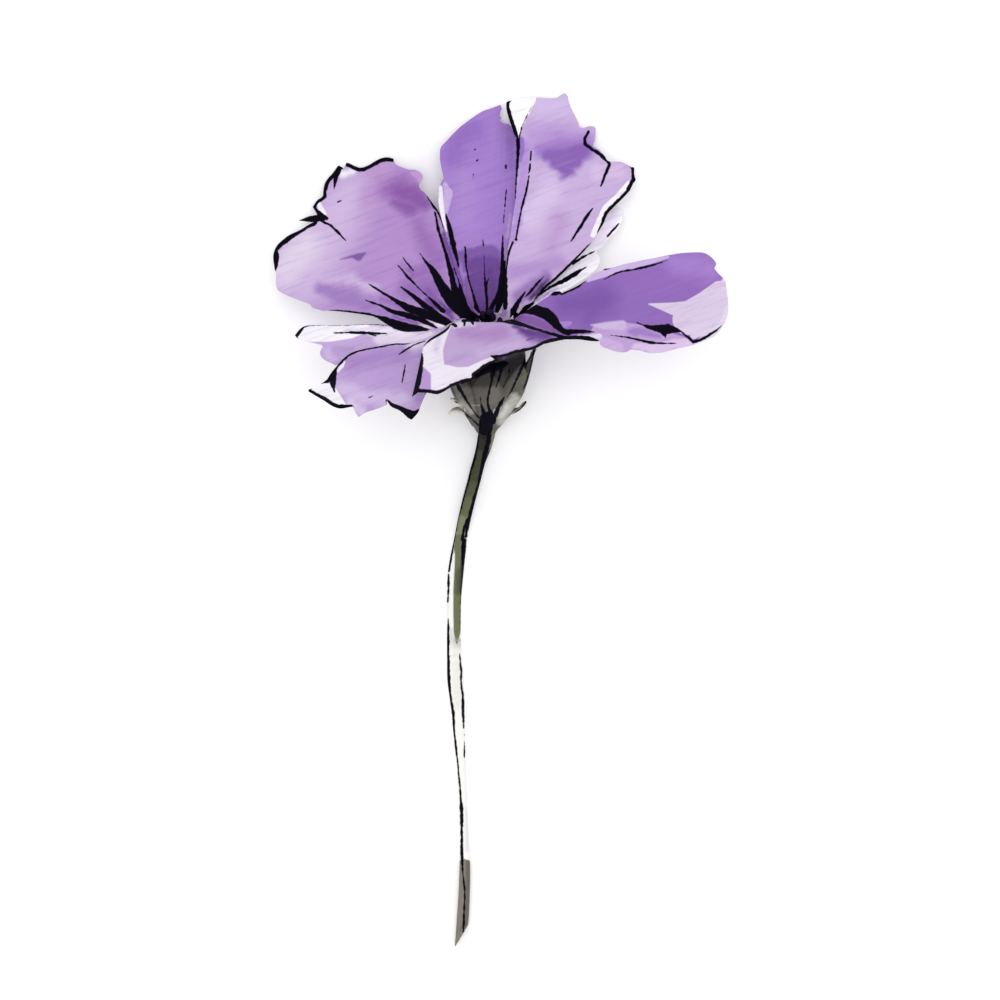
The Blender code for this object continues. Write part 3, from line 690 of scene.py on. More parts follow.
backRightPetal = {
    "azimuth": 61, "ring": 2.6, "length": 48.5, "rise": (42, 25.5), "sway": -3, "twist": 25,
    "widths": [(8, 5), (11, 8.5), (12, 13), (13.5, 19)],
    "edge": [0.90, 0.92, 0.91, 0.92, 0.96, 0.96, 0.99, 1.0, 0.97],
    "ripple": (0.5, 2.0, 2.0),
    "outline": [
        [(500, 325), (503, 300), (505, 275), (508, 250), (512, 225), (514.5, 205, 0.2), (516.5, 180, 0.8),
         (518, 160, 1.2), (518.7, 142, 1.6)],
        [(514, 134, 4), (510, 122, 4), (506.8, 111, 3.8), (506.3, 103, 3), (508, 101.3, 2)],
        [(515, 99.5), (526, 98), (538, 97.6)],
        [(548, 98.2), (556, 98), (560, 95.5), (565, 93)],
        [(567.8, 96), (569.2, 103), (573, 112), (577, 120), (579.6, 127.5)],
        [(584, 128.2), (589, 126.2), (594.6, 126.8), (595.6, 131), (595, 139), (592.8, 146)],
        [(599, 149.5), (604, 155), (607.5, 160.5), (612, 161.6), (621, 162), (628, 165)],
        [(631.8, 167.3, 2), (634.2, 167.5, 3), (634.3, 175, 3), (635.8, 180, 4.5), (633.5, 183, 4)],
        [(630.5, 189, 4), (629.5, 191, 3.4), (621.5, 199.5, 3.2), (609.5, 211.5, 3.4), (606, 217, 3.4),
         (603.8, 223, 3), (598, 232.5, 1)],
        [(594, 239), (589.5, 245, 1.2), (581, 254.5, 2), (572, 264, 2.4), (563, 273, 2.6),
         (554, 281.5, 2.6), (546, 288, 2.6), (537, 297.5, 1.5)],
        [(528, 306), (515, 325)],
    ],
    "base": "#c8afdb",
    "washes": [
        ("#cfbbe5", 20, [[(540, 106, 9), (562, 106, 9)]]),
        ("#b899d5", 18, [[(532, 134, 9), (585, 136, 9)]]),
        ("#a17cc6", 16, [[(540, 150, 8), (560, 150, 14), (586, 148, 11)]]),
        ("#8a62b4", 8, [
            [(549, 155, 6), (566, 159, 11), (583, 152, 9)],
            [(557, 164, 8), (576, 162, 8)],
            [(560, 168, 6), (570, 172, 5.6), (561, 179, 2)],
        ]),
        ("#d5c1e6", 22, [[(528, 218, 10), (550, 190, 12)]]),
        ("#d2bae1", 8, [[(597, 172, 7), (618, 171, 7)]]),
        ("#b393d6", 5, [[(524, 145, 5), (522, 185, 4.6), (516, 225, 4.4), (512, 240, 3)]]),
        ("#946ec2", 3, [[(521.5, 139, 2.6), (522, 150, 2.6), (520.5, 161, 1.4)]]),
        ("#bc9ccf", 20, [[(560, 222, 9), (550, 248, 8)]]),
        ("#b393cd", 16, [[(560, 262, 7), (516, 272, 9)]]),
        ("#9875b7", 10, [[(546, 276, 5), (520, 296, 8)]]),
        ("#a283bb", 4, [[(503, 313, 5)]]),
        ("#7f5b9f", 7, [[(548, 280, 3), (531, 296, 4.4)]]),
        ("#432d5c", 3.6, [[(549, 280.5, 0.8), (541, 289, 2.4), (532, 297.5, 2)]]),
        ("#f7f3fb", 1.2, [
            [(629, 183, 2.4), (618, 196.4, 3), (605.4, 208, 3), (599.6, 221, 3.2), (593, 235, 2.6)],
        ]),
        ("#fefdff", 1.2, [
            [(517.5, 134, 2), (517, 125.4, 5.4), (517, 118, 8.6), (518.6, 107.5, 12.4), (520.5, 98, 15.4)],
        ]),
    ],
    "ink": [
        [(531.6, 106.6, 0.2), (525.7, 118, 0.4), (522.2, 125.4, 0.4), (519.9, 134.3, 0.6),
         (519.2, 139, 1.2)],
        [(531, 151.5, 0.8), (530.5, 160, 1)],
        [(530, 164, 1), (529.5, 171, 1.1), (528.5, 173, 0.5)],
        [(529, 176, 0.7), (526, 192, 1.2), (522, 207, 1.1), (519, 222, 1), (516, 239, 1)],
        [(516, 239.5, 1.5)],
        [(513, 242, 1), (508.8, 252, 1.3), (506.2, 262, 1.6), (505, 272, 2.2), (504.6, 285, 2.9),
         (504.6, 298, 3.4), (505.2, 308, 2)],
        [(588.5, 131.5, 1.2), (584.5, 139, 1.6), (585, 144, 2), (591, 148.5, 1.8), (600, 154, 1.8),
         (607.5, 161, 2), (609.5, 164.5, 1.6), (606, 173, 1.6), (601, 186, 1)],
        [(593, 208, 0.2), (589, 213, 1.6), (584, 221, 1.7), (577, 232, 1.4), (570.5, 242, 0.5)],
        [(544, 276, 0.4), (537, 284, 1.4), (530, 292, 1.4), (525, 297, 0.4)],
        [(525, 292, 1), (518, 302.5, 2.2), (513.8, 310, 3.6), (513, 316, 3)],
    ],
}

paleRightPetal = {
    "azimuth": 33, "ring": 5.2, "length": 37.5, "rise": (15, 13), "sway": 3, "twist": 20,
    "widths": [(5.4, 4), (6.8, 5), (6.6, 6), (5, 7.5)],
    "edge": [0.82, 0.82, 0.85, 0.90, 0.94, 0.97, 1.0, 1.0, 0.95],
    "ripple": (0.4, 2.0, 0.7),
    "outline": [
        [(515, 318), (540, 285), (560, 262), (580, 240), (595, 222), (604, 212), (612, 205)],
        [(617, 205.5), (622, 213), (621.5, 223), (616, 232), (609, 238.5), (602, 247.5)],
        [(596, 251), (600, 259), (597, 268), (588, 276), (576, 284), (563, 292), (552, 299), (540, 308),
         (528, 322)],
    ],
    # painted light: whiter and brighter than the petal's own pale tint, to make up for the shade the
    # back-right petal casts on it
    "base": "#fcfaff", "paper": 0.97,
    "washes": [
        ("#f2e8fa", 6, [[(614, 216, 5), (606, 234, 6), (592, 244, 3)]]),
        ("#d9c8ec", 3, [[(539, 300, 2.6), (549, 293, 3), (558, 288, 1)]]),
        ("#b79bd2", 1.6, [[(543, 297.5, 0.5), (548.5, 293, 0.8)]]),
        ("#8862a8", 4, [[(518, 312, 4), (528, 304, 4.4), (536, 297, 2.4)]]),
    ],
    "ink": [
        [(618.5, 224, 0.5), (613, 230, 1.5), (607.5, 236.5, 0.9)],
        [(594, 251.5, 0.4), (583, 257, 1.2), (573, 263.5, 1.4)],
        [(587, 266.5, 0.4), (575, 274, 2.4), (562, 281.5, 2.2), (552, 286, 1.4), (541, 293.5, 1.2),
         (531, 300, 1.4)],
        [(532, 303, 2.4), (520, 310, 5), (510, 318, 7)],
    ],
}

rightPetal = {
    "azimuth": 340, "ring": 3.2, "length": 49.2, "rise": (17, 13), "sway": 2, "twist": 31,
    "widths": [(8, 6), (9.5, 8.5), (11, 10), (12, 11)],
    "edge": [0.86, 0.97, 1.0, 1.0, 0.99, 0.98, 0.95, 0.93, 0.91],
    "ripple": (0.5, 2.0, 2.6),
    "outline": [
        [(515, 318), (538, 303), (548.5, 296.2), (553.5, 292, 4), (559.5, 291, 3)],
        [(562, 293, 2.2), (570, 289.5, 2.2), (578, 285.5, 2), (585, 281, 1)],
        [(590, 277), (595, 273), (601, 271)],
        [(605, 268.5, 1.8), (608, 268.5, 1)],
        [(616, 266.5), (625, 264), (640, 260.7), (655, 258), (669, 255), (682, 253), (695, 252.3),
         (703, 252.6), (709.5, 255.6), (714, 260), (716.2, 264), (714.3, 268.3)],
        [(718, 273), (723, 278), (725.8, 283), (726.8, 291), (728.4, 304), (728, 313), (725.6, 321),
         (721, 329), (715, 336), (705, 340.5), (695, 344.6), (685, 347), (672, 350), (661, 352.6),
         (650, 353), (640, 350.6)],
        [(631, 349.6), (626, 352), (618, 352), (608, 349), (601, 345.6), (599.5, 341.5)],
        [(597, 341.3, 1.6), (590, 341, 4.4), (580, 339.6, 4), (570, 339.5, 3.8), (562, 340, 4),
         (540, 345, 4)],
        [(520, 350), (505, 340)],
    ],
    "base": "#9069b9", "streak": "#b595d4",
    "washes": [
        ("#a57fcb", 24, [[(676, 262, 10), (708, 268, 12)]]),
        ("#7b53a8", 30, [[(565, 305, 12), (600, 300, 16), (588, 318, 8)]]),
        # painted highlight: a pale band along the petal's upper edge
        ("#cdb5e3", 1.4, [
            [(588, 279, 3), (604, 272.5, 4.6), (625, 266.5, 4.4), (650, 261.5, 2.6), (668, 257, 1.2)],
        ]),
        ("#dccbe5", 1.2, [
            [(725, 282, 4), (718, 299, 12), (713, 315, 17), (688, 319.5, 15.5)],
            [(692, 312, 12), (672, 308.4, 6), (649, 304, 0.6)],
            [(690, 310, 10), (704, 302, 10), (719, 289, 8)],
            [(703, 325, 13), (694, 335, 4)],
        ]),
        ("#c0a0d6", 1.6, [[(600, 333, 9), (622, 337, 15), (652, 341, 14), (680, 343, 7)]]),
        ("#cfb9e1", 3, [[(591, 325, 0.4), (605, 326, 3.8), (622, 325, 4.6)]]),
        ("#a07cc5", 6, [[(630, 331, 3.4), (646, 332, 4), (658, 336.5, 3)]]),
        ("#cdb0e1", 3, [[(603, 342, 5), (618, 348, 6)]]),
        ("#dcc2e8", 4, [[(636, 347, 3), (656, 349, 5), (690, 343, 5)]]),
        ("#e3d8ec", 1.2, [[(698, 343.5, 4), (714, 335, 4.6), (725, 322, 4.6), (728, 306, 2)]]),
        ("#a882d0", 1.5, [[(561, 326, 4.6), (570, 323, 2)]]),
        ("#855aa3", 1.2, [[(520, 318, 3), (535, 321, 4), (548, 327, 3.4), (560, 333, 2)]]),
        ("#e6dbf0", 2, [[(578, 335.4, 0.4), (589, 336, 1.6), (599, 336.4, 3)]]),
    ],
    "ink": [
        # painted shade: the throat's shade, painted black over the petal's foot
        [(512, 316, 3), (504, 324, 7), (490, 336, 10)],
        [(468, 317, 7), (485, 318, 7.6), (500, 319, 6)],
        [(604, 279.5, 0.4), (612, 275, 0.9), (622, 271.3, 1), (634, 269.5, 1), (645, 267, 1.3),
         (655, 264.5, 0.9), (667, 260.5, 0.3)],
        [(637, 322.5, 0.5), (643, 325, 0.9), (650, 327.4, 2.2), (660, 328.6, 4), (668, 329, 5),
         (676, 330, 2.6), (681, 331.5, 1)],
        [(664, 331, 5), (665.6, 337.6, 0.4)],
        [(681, 331.5, 0.8), (688, 337, 1.3), (693, 342, 1.9), (700, 340, 1.5), (708, 336, 1.6),
         (716, 330.5, 1), (722, 325.5, 0.4)],
        [(611, 335.3, 0.5), (625, 337, 0.7), (640, 340, 1.2), (650, 342.5, 1.5), (658, 343.3, 1),
         (676, 343.3, 0.4)],
        # painted shadow: a black band under the petal's curled edge, just above the front petal
        [(511.5, 313, 2.4), (517, 310.5, 4), (525, 308.6, 4.8), (536, 310.2, 5.2), (545, 313.2, 6),
         (551.4, 318, 5.4), (556.6, 325, 4.2), (562, 330, 3), (568, 333, 3)],
        [(566, 332, 3), (576, 331.4, 2.2), (585, 331.4, 1.8), (594, 332, 0.5)],
        [(513, 321, 1), (530, 327, 1.2), (545, 332, 1.2), (562, 337, 2)],
    ],
}

frontPetal = {
    "azimuth": 268, "ring": 2.6, "length": 43.4, "rise": (13, -2.5), "sway": 4.5, "twist": 5,
    "widths": [(7, 7), (11, 8), (12.4, 10), (13, 14)],
    "edge": [1.0, 0.97, 0.92, 0.87, 0.79, 0.71, 0.66, 0.65, 0.66],
    "ripple": (0.4, 2.0, 0.2),
    "outline": [
        [(455, 322), (450, 324.5, 1), (445, 329.5, 2.4), (436, 335, 2.5), (429, 339.5, 2),
         (424, 345.5, 0.6), (422, 350), (421.3, 354.5, 1.6), (419.5, 364, 4), (417, 375, 5),
         (415, 384, 5.4), (412, 397, 3)],
        [(418, 392.5, 4), (429, 393, 3.6), (437, 394.3, 3.6), (443, 392, 3.4), (448, 389, 3),
         (452, 386.5, 3), (458, 384.5, 3), (464, 381.5, 3), (471, 380.5, 2.6), (475.5, 377.5, 3)],
        [(474.5, 374.5, 3), (479, 372, 3), (484, 367.5, 3), (491, 363.5, 2.6), (499, 360, 2)],
        [(491, 356, 0.8), (500, 357, 2.4), (508, 355.8, 3), (515, 353, 3), (522, 352, 3), (531, 350, 3),
         (537, 347.8, 3), (545, 343.5, 3), (553, 341, 3), (563, 339.8, 3)],
        [(566, 335, 2), (555, 333.8, 2.4), (545, 330.8, 2.4), (530, 325.5, 2.4), (518, 321, 3),
         (510, 318.6, 3), (495, 316, 3), (478, 315.6, 3), (468, 316.8, 1.6), (462, 318)],
    ],
    "base": "#c4a8d8",
    "washes": [
        ("#b790cb", 12, [[(462, 334, 5), (505, 333, 6)]]),
        ("#cfb5e0", 10, [[(480, 352, 3), (518, 346, 3)]]),
        ("#f3ecf8", 1.4, [
            [(447, 326, 4), (439, 338, 7), (433, 350, 10), (432, 364, 12), (436, 378, 12)],
            [(438, 376, 13), (455, 378, 11), (470, 373, 6.5), (486, 362, 3), (500, 355, 1)],
        ]),
        ("#e3d6ed", 6, [[(440, 338, 3), (434, 350, 3)]]),
        ("#e4d8ee", 4, [[(456, 326, 3), (466, 324, 3), (474, 322, 2)]]),
        ("#b997d3", 2, [[(422, 368, 2), (426, 376, 5), (424, 390, 7)]]),
        ("#7a52a2", 9, [[(522, 331, 4), (534, 336, 6), (552, 339, 7)]]),
        ("#603889", 4, [[(513, 325.5, 1.4), (524, 330, 3.2), (536, 334, 3), (548, 337, 2)]]),
        ("#6b4494", 2, [[(527, 340, 0.8), (533, 337.5, 1.4)]]),
    ],
    "ink": [
        [(463, 320.6, 1.4), (470, 320, 2), (485, 319.5, 1.8), (500, 320.5, 1.8), (515, 323.5, 1.6),
         (530, 327.5, 1.4), (546, 332.5, 1.3), (562, 337, 2)],
        [(464.5, 321, 1.6), (464.3, 325.4, 1)],
        [(471, 320, 1.6), (473.2, 324, 0.8)],
        [(450.5, 322, 2.2), (456, 325.8, 1.5)],
    ],
}

# The throat's shade is painted black, and it hides the feet of the two lowest petals
paintedThroatShade = [
    [(455, 326, 3), (480, 335, 8)],
    [(466, 317, 7), (485, 318, 7.6), (500, 319, 6)],
]

frontLeftPetal = {
    "azimuth": 233.5, "ring": 4.0, "length": 44.8, "rise": (3.5, -13), "sway": 6, "twist": -1.5,
    "widths": [(5, 6), (7, 8), (9, 10), (9, 13)],
    "edge": [0.98, 1.02, 1.08, 1.12, 1.12, 1.06, 0.97, 0.97, 0.96],
    "ripple": (0.5, 2.0, 1.5),
    "outline": [
        [(455, 325), (440, 331), (428, 337), (418, 341.5), (406, 343.4, 1.2), (395, 343.4, 1.4),
         (380, 346, 1.6), (362, 349.4, 1.8), (350, 353.5, 2), (341.5, 360.5, 2.2), (335, 368, 2.4),
         (331, 373, 4), (327, 379.5, 4)],
        [(318, 386), (308.5, 389.6, 1)],
        [(308.5, 391.5, 2.5), (316, 396, 3.4), (324.5, 401, 4), (332, 406, 4), (340, 408.6, 4),
         (349, 407.3, 3), (353, 406.5, 1)],
        [(354.5, 411), (358.6, 417)],
        [(366, 412.3), (377, 408.8), (386.5, 405)],
        [(386.8, 400.5, 1.5), (391, 406.5, 4), (399, 410.2, 4.5), (404, 414.2, 6), (408, 418, 8),
         (411.5, 419.7, 8)],
        [(415, 416.5, 6), (418.5, 412, 3)],
        [(421, 405), (424.5, 397), (429, 388), (431.3, 379), (432, 365), (440, 345), (465, 335)],
    ],
    "base": "#bb9dd4",
    "washes": [
        ("#a987c7", 16, [[(350, 363, 6), (380, 357, 9), (402, 354, 8)]]),
        ("#cfbae3", 12, [[(343, 388, 7), (365, 398, 8), (404, 400, 8)]]),
        ("#dbc9ec", 6, [[(350, 403, 5), (362, 411, 5)]]),
        ("#dfd0ea", 8, [[(412, 347, 4), (440, 338, 4)]]),
        ("#f7f3fa", 1.2, [[(320, 389, 10), (330, 393, 7.5), (337, 401, 6), (345, 408, 3)]]),
        ("#efe6f5", 1, [[(338, 371, 1.5), (342, 366, 1.8), (344.5, 362, 0.8)]]),
        ("#ba9cd2", 4, [[(424, 375, 6), (423, 392, 5)]]),
    ],
    "ink": [
        [(336, 368.5, 1), (332.5, 378, 4), (333, 385, 2.6), (334.5, 392, 0.6)],
        [(405.5, 364, 0.4), (404, 372, 1), (402, 382.5, 0.6)],
        [(425, 341, 0.3), (414, 345, 0.6), (406, 349.5, 1.1), (398, 355, 0.4)],
        [(369, 397.5, 0.8), (373, 395.8, 0.6)],
        [(393, 404, 1), (403, 409, 2), (411, 413, 3), (415, 413, 2)],
        # the throat's shade, painted black over this petal's foot
        *paintedThroatShade,
    ],
}

paleLeftPetal = {
    "azimuth": 205, "ring": 5.1, "length": 37, "rise": (2.5, -6), "sway": 2.5, "twist": -13,
    "widths": [(5, 5), (6, 6), (7, 7), (8, 7)],
    "edge": [0.99, 1.0, 1.0, 1.0, 1.0, 1.0, 1.0, 1.0, 0.99],
    "ripple": (0.4, 2.0, 0.9),
    "outline": [
        [(455, 325), (435, 329), (420, 330), (400, 328), (386, 325, 0.6), (365, 324, 0.5),
         (345, 325.3, 0.5), (320, 325, 0.4), (306, 325.8, 1), (300, 329, 3.4), (294.8, 335.3, 3.4)],
        [(297, 338, 1), (306, 341.5), (316, 343.5), (322.5, 346), (320, 352.5), (323, 359), (331, 363),
         (338, 367)],
        [(350, 366), (370, 360), (400, 355), (430, 348), (465, 335)],
    ],
    "base": "#c3a8da",
    "washes": [
        ("#ceb9e4", 8, [[(326, 353, 4), (333, 358, 3)]]),
        ("#b79ad2", 7, [[(336, 350, 4), (352, 348, 3)]]),
        ("#e6d9ee", 6, [[(380, 340, 5), (430, 336, 6)]]),
        ("#f0e7f7", 8, [[(372, 330, 5), (408, 332, 2.5)]]),
        ("#f8f4fb", 1.6, [
            [(296, 336, 6), (312, 334, 8), (330, 333, 8.6), (350, 331, 7.5), (366, 328.5, 4)],
        ]),
        ("#e6daf2", 3, [[(345, 331, 1.6), (372, 328.5, 1.6)]]),
    ],
    "ink": [
        [(334, 333, 0.4), (350, 332.5, 1.2), (365, 332.8, 1.6), (376, 333.5, 1.2), (387, 333.5, 0.4)],
        [(370, 334, 1), (376, 335.6, 0.6)],
        [(382, 321, 1), (390, 324.4, 2), (398, 327, 3.4), (406, 328.6, 3.4), (416, 329.6, 2.4),
         (429, 330.6, 0.4)],
        # the throat's shade, painted black over this petal's foot
        *paintedThroatShade,
    ],
}

for node, petal, slot in (
    ("petal_left", leftPetal, "violet_petal"),
    ("petal_back", backPetal, "violet_petal"),
    ("petal_back_right", backRightPetal, "violet_petal"),
    ("petal_right", rightPetal, "violet_petal"),
    ("petal_front", frontPetal, "violet_petal"),
    ("petal_front_left", frontLeftPetal, "violet_petal"),
    ("petal_pale_right", paleRightPetal, "pale_petal"),
    ("petal_pale_left", paleLeftPetal, "pale_petal"),
):
    makePetal(node, petal)


# Calyx: a ribbed cup, eight keeled sepals and small hooked bracts round its foot, grown as one

calyx = {
    # (radius, height) in mm along the head's axis, from the foot up
    "body": [(1.7, -22.2), (2.1, -21.4), (2.8, -20.3), (3.8, -18.6), (4.8, -16.9), (5.8, -14.9), (6.4, -13.2),
             (6.8, -11.4), (6.9, -10.0), (6.8, -9.0), (6.3, -7.0)],
    "sides": 96, "rows": 40, "ribs": 16, "ribHeight": 0.1,
    "sepals": 8,
    "sepalLine": [(2.5, -20.8), (4.7, -17.0), (6.5, -13.4), (7.5, -9.6), (8.2, -5.5)],
    "sepalHalfWidths": [1.0, 2.3, 3.0, 2.7, 0.1],
    "keel": 0.35, "keelFrom": 0.2, "sepalThickness": 0.55,
    "tilt": 0.22,  # mm, so that one edge of a blade stands out over its neighbour
    "bladeAcross": 12, "bladeAlong": 32, "thinnest": 0.05,
    # degrees round the axis, the radius and height of the tip, and how far it climbs before it
    # leaves the cup
    "bracts": [(-10, 6.9, -15.6, 0.5), (38, 6.9, -15.6, 0.62), (92, 7.0, -15.8, 0.62), (144, 6.4, -16.0, 0.7),
               (176, 6.3, -16.3, 0.75), (203, 7.1, -17.6, 0.95)],
    "bractFoot": [(1.2, -21.9), (2.2, -20.9)], "bractOut": (0.45, 0.8), "bractHook": 0.2,
    "bractHalfWidths": [1.2, 1.6, 1.2, 0.6, 0.08],
    "bractThickness": 0.4,
}
calyxLook = {
    "base": "#5f5c56", "line": "#2b2a28", "streak": "#a7a49a", "roughness": 0.7,
    "backFade": 0.6,  # how fast its markings end behind the side that the photograph shows
    "washes": [
        # painted shade: these three washes darken the top of the cup under the front petal
        ("#4a4843", 14, [[(478, 380, 6), (500, 384, 6), (515, 368, 8)]]),
        ("#262523", 12, [[(470, 380, 4), (500, 368, 7), (520, 358, 9)]]),
        ("#33322f", 7, [[(462, 384, 2.4), (476, 383, 5), (492, 377, 7)]]),
        ("#6f6a64", 6, [[(496, 392, 5), (494, 401, 4)]]),
        ("#7b766e", 8, [[(458, 398, 4), (470, 408, 5)]]),
        ("#5f6046", 6, [[(528, 366, 3), (524, 380, 3)]]),
        # the bracts' own pale grey, painted lighter still as painted light to make up for the shade on them
        ("#d6d2c8", 4, [[(451, 401, 3), (459, 407, 3)], [(449, 413, 3), (462, 412, 3)]]),
        ("#a39f96", 5, [[(462, 404, 2), (472, 412, 3)]]),
        # painted highlight: two pale washes light the lower right of the cup
        ("#b8b6ae", 7, [[(515, 400, 5), (506, 408, 6), (502, 420, 6)]]),
        ("#cfcdc7", 4, [[(506, 406, 2.5), (502, 416, 2.5)]]),
        ("#8f8a80", 2, [[(524, 402, 1), (519, 409, 1.4), (510, 415, 1.4)]]),
        ("#a9a59b", 1.4, [[(470, 405.6, 0.4), (480, 405.2, 0.4)]]),
        ("#b4b3ab", 0.8, [[(494.6, 409.5, 0.7), (493, 414, 0.8)]]),
    ],
    "ink": [
        [(457.5, 385, 1.8), (461, 391, 1.8), (465, 398, 1.4), (470, 406, 0.9), (475, 413, 0.7),
         (479, 418, 1)],
        [(454.5, 401.8, 0.3), (457, 402.6, 0.7), (460, 403, 0.2)],
        [(480.3, 396, 0.2), (480.8, 403, 0.8), (482.5, 409, 1.6), (484.5, 415, 3)],
        [(492.5, 371, 3), (492, 380, 1.2), (489.5, 390, 0.9), (487.8, 398, 0.9), (487.8, 404, 1),
         (489.3, 409, 1.4), (491, 415, 3)],
        [(501.5, 368, 2), (499.5, 378, 1), (497.5, 383, 0.8), (496, 387, 0.4)],
        [(504, 397, 0.3), (501.5, 402, 1.8), (498, 408, 2), (495.5, 415, 2.2), (493, 422, 2.5)],
        [(529.5, 349, 1.8), (525.2, 360, 1.7), (520.5, 371, 1.4), (516.5, 380, 1.2), (512, 390, 0.9),
         (507.5, 397, 0.3)],
        [(534, 351, 1.4), (532.6, 362, 1.6), (530, 372, 1.6), (527, 381, 1.4), (523.5, 389, 0.6)],
        [(526.5, 361.5, 0.3), (530, 358, 0.8), (533, 354, 0.6)],
        [(513, 358, 0.8), (508.5, 373, 0.6)],
        # painted shadow: a broad black band where the front petal's rim shades the cup
        [(462, 382, 2), (480, 372, 4), (492, 366, 6), (503, 362, 6), (515, 356, 4), (527, 351, 2)],
        [(487, 419, 7.4), (486, 426, 7.2), (485, 432, 6.4)],
        [(527.5, 398.5, 0.4), (524.8, 404, 0.6), (520.5, 408.5, 0.5), (514, 413.5, 0.3)],
        [(463, 411, 0.4), (468, 416, 0.9), (473, 420, 0.7), (478, 425, 0.9)],
    ],
}


def makeBlade(name, line, halfWidths, thickness, azimuth):
    # A pointed blade with a keel, curved round the head's axis
    shape = bmesh.new()
    bmesh.ops.create_grid(shape, x_segments=calyx["bladeAcross"], y_segments=calyx["bladeAlong"], size=1)
    at = np.array([vert.co[:2] for vert in shape.verts])
    share = (at[:, 1] + 1) / 2
    radius, height = curveThrough(line, share).T
    half = np.maximum(curveThrough(halfWidths, share), calyx["thinnest"])
    angle = math.radians(azimuth) + at[:, 0] * half / radius
    ridge = (1 - np.abs(at[:, 0])) ** 2
    keel = calyx["keel"] * ridge * smoothStep(share, 0, calyx["keelFrom"]) * (1 - share)
    radius = radius + calyx["tilt"] * at[:, 0] + keel
    for vert, r, a, h in zip(shape.verts, radius, angle, height):
        vert.co = headPlace @ Vector((r * math.cos(a), r * math.sin(a), h))
    bmesh.ops.triangulate(shape, faces=shape.faces)
    blade = newPiece(name, shape)
    thick = blade.modifiers.new("thickness", "SOLIDIFY")
    thick.thickness, thick.offset = thickness * mm, -1
    return applied(blade)


def bractLine(radius, height, climb):
    # A bract climbs along the cup from its foot, then leaves it for its tip
    foot, low = calyx["bractFoot"]
    line = [foot, low]
    for out, up in zip(calyx["bractOut"], (climb, climb + calyx["bractHook"])):
        line.append((low[0] + (radius - low[0]) * out, low[1] + (height - low[1]) * up))
    return [*line, (radius, height)]


def makeCalyx():
    # The ribbed cup first, then its sepals and bracts, joined into one closed body
    rows = curveThrough(calyx["body"], np.linspace(0, 1, calyx["rows"] + 1))
    shape = spunBody(rows, calyx["sides"])
    for vert in shape.verts:
        radius, angle = math.hypot(vert.co.x, vert.co.y), math.atan2(vert.co.y, vert.co.x)
        rib = 1 + calyx["ribHeight"] * math.cos(calyx["ribs"] * angle) / radius
        vert.co.x, vert.co.y = vert.co.x * rib, vert.co.y * rib
    body = newHeadPiece("calyx_skin", shape)
    step = 360 / calyx["sepals"]
    blades = [
        makeBlade("sepal", calyx["sepalLine"], calyx["sepalHalfWidths"], calyx["sepalThickness"], i * step)
        for i in range(calyx["sepals"])
    ]
    blades += [
        makeBlade("bract", bractLine(*tip), calyx["bractHalfWidths"], calyx["bractThickness"], azimuth)
        for azimuth, *tip in calyx["bracts"]
    ]
    combine(body, blades, "UNION")
    fromHead = np.array(headPlace.inverted())
    back = (meshPlaces(body.data) @ fromHead[:3, :3].T + fromHead[:3, 3])[:, 1] * mm / photo["pixel"]
    material = paintedSkin("green calyx tissue", calyxLook, rimInk=False)
    finishPiece(body, "calyx", material, behind=back * calyxLook["backFade"])
    print("calyx", len(body.data.polygons), "faces")


makeCalyx()


# Tubes that follow a smooth line of (x, y, z, radius), in metres

def sweepTube(name, points, sides, ridges=0, ridgeHeight=0.0):
    shape = bmesh.new()
    bmesh.ops.create_circle(shape, cap_ends=True, segments=sides, radius=1)
    shape.faces.ensure_lookup_table()
    cap = shape.faces[0]
    centres = [Vector(point[:3]) for point in points]
    place = Matrix.Identity(4)
    right = Vector((1, 0, 0))
    for i, centre in enumerate(centres):
        if i:
            grown = bmesh.ops.extrude_face_region(shape, geom=[cap])["geom"]
            cap = next(item for item in grown if isinstance(item, bmesh.types.BMFace))
        ahead = (centres[min(i + 1, len(centres) - 1)] - centres[max(i - 1, 0)]).normalized()
        right = (right - ahead * right.dot(ahead)).normalized()
        turned = Matrix((right, ahead.cross(right), ahead)).transposed().to_4x4()
        turned.translation = centre
        for vert in cap.verts:
            local = place.inverted() @ vert.co
            angle = math.atan2(local.y, local.x)
            radius = points[i][3] * (1 + ridgeHeight * math.cos(ridges * angle))
            vert.co = turned @ Vector((radius * math.cos(angle), radius * math.sin(angle), 0))
        place = turned
    bmesh.ops.triangulate(shape, faces=shape.faces)
    bmesh.ops.recalc_face_normals(shape, faces=shape.faces)
    return newPiece(name, shape)


# Heart: a small dome with a style and nine stamens

heart = {
    "foot": head["disc"] + head["gap"],
    "dome": [(1.9, 0), (1.9, 0.5), (1.75, 1.1), (1.4, 1.55), (0.8, 1.8), (0.05, 1.9)], "sides": 32,
    "rootHeight": 0.9, "styleHeight": 8.2, "styleRadii": (0.45, 0.4, 0.36), "styleBend": (0.1, 0.06),
    "styleSides": 16, "stamenSides": 12, "tubeSteps": 16,
    "stigmaRadius": 0.72, "stigmaStretch": 0.8,
    "stamens": 9, "rootAt": 0.95, "kneeAt": 0.4, "tipAt": 2.3, "stamenRadius": 0.3,
    "tipHeights": (5.6, 7.0),
    "drift": 0.15,  # a share of the step between two stamens
    "antherRadius": 0.5, "antherStretch": 1.6, "seed": 4,
    "tissue": "#0e0815", "pollen": "#2b1d3a", "roughness": 0.7, "gloss": 0.1,
    "grain": 0.15, "grainHeight": 0.05,  # mm, the size and relief of the pollen's grains
}


def headTube(name, points, sides):
    # A tube along points in the head's frame, in mm
    line = curveThrough(points, np.linspace(0, 1, heart["tubeSteps"] + 1))
    return sweepTube(name, [(*(headPlace @ Vector(p[:3])), p[3] * mm) for p in line], sides)


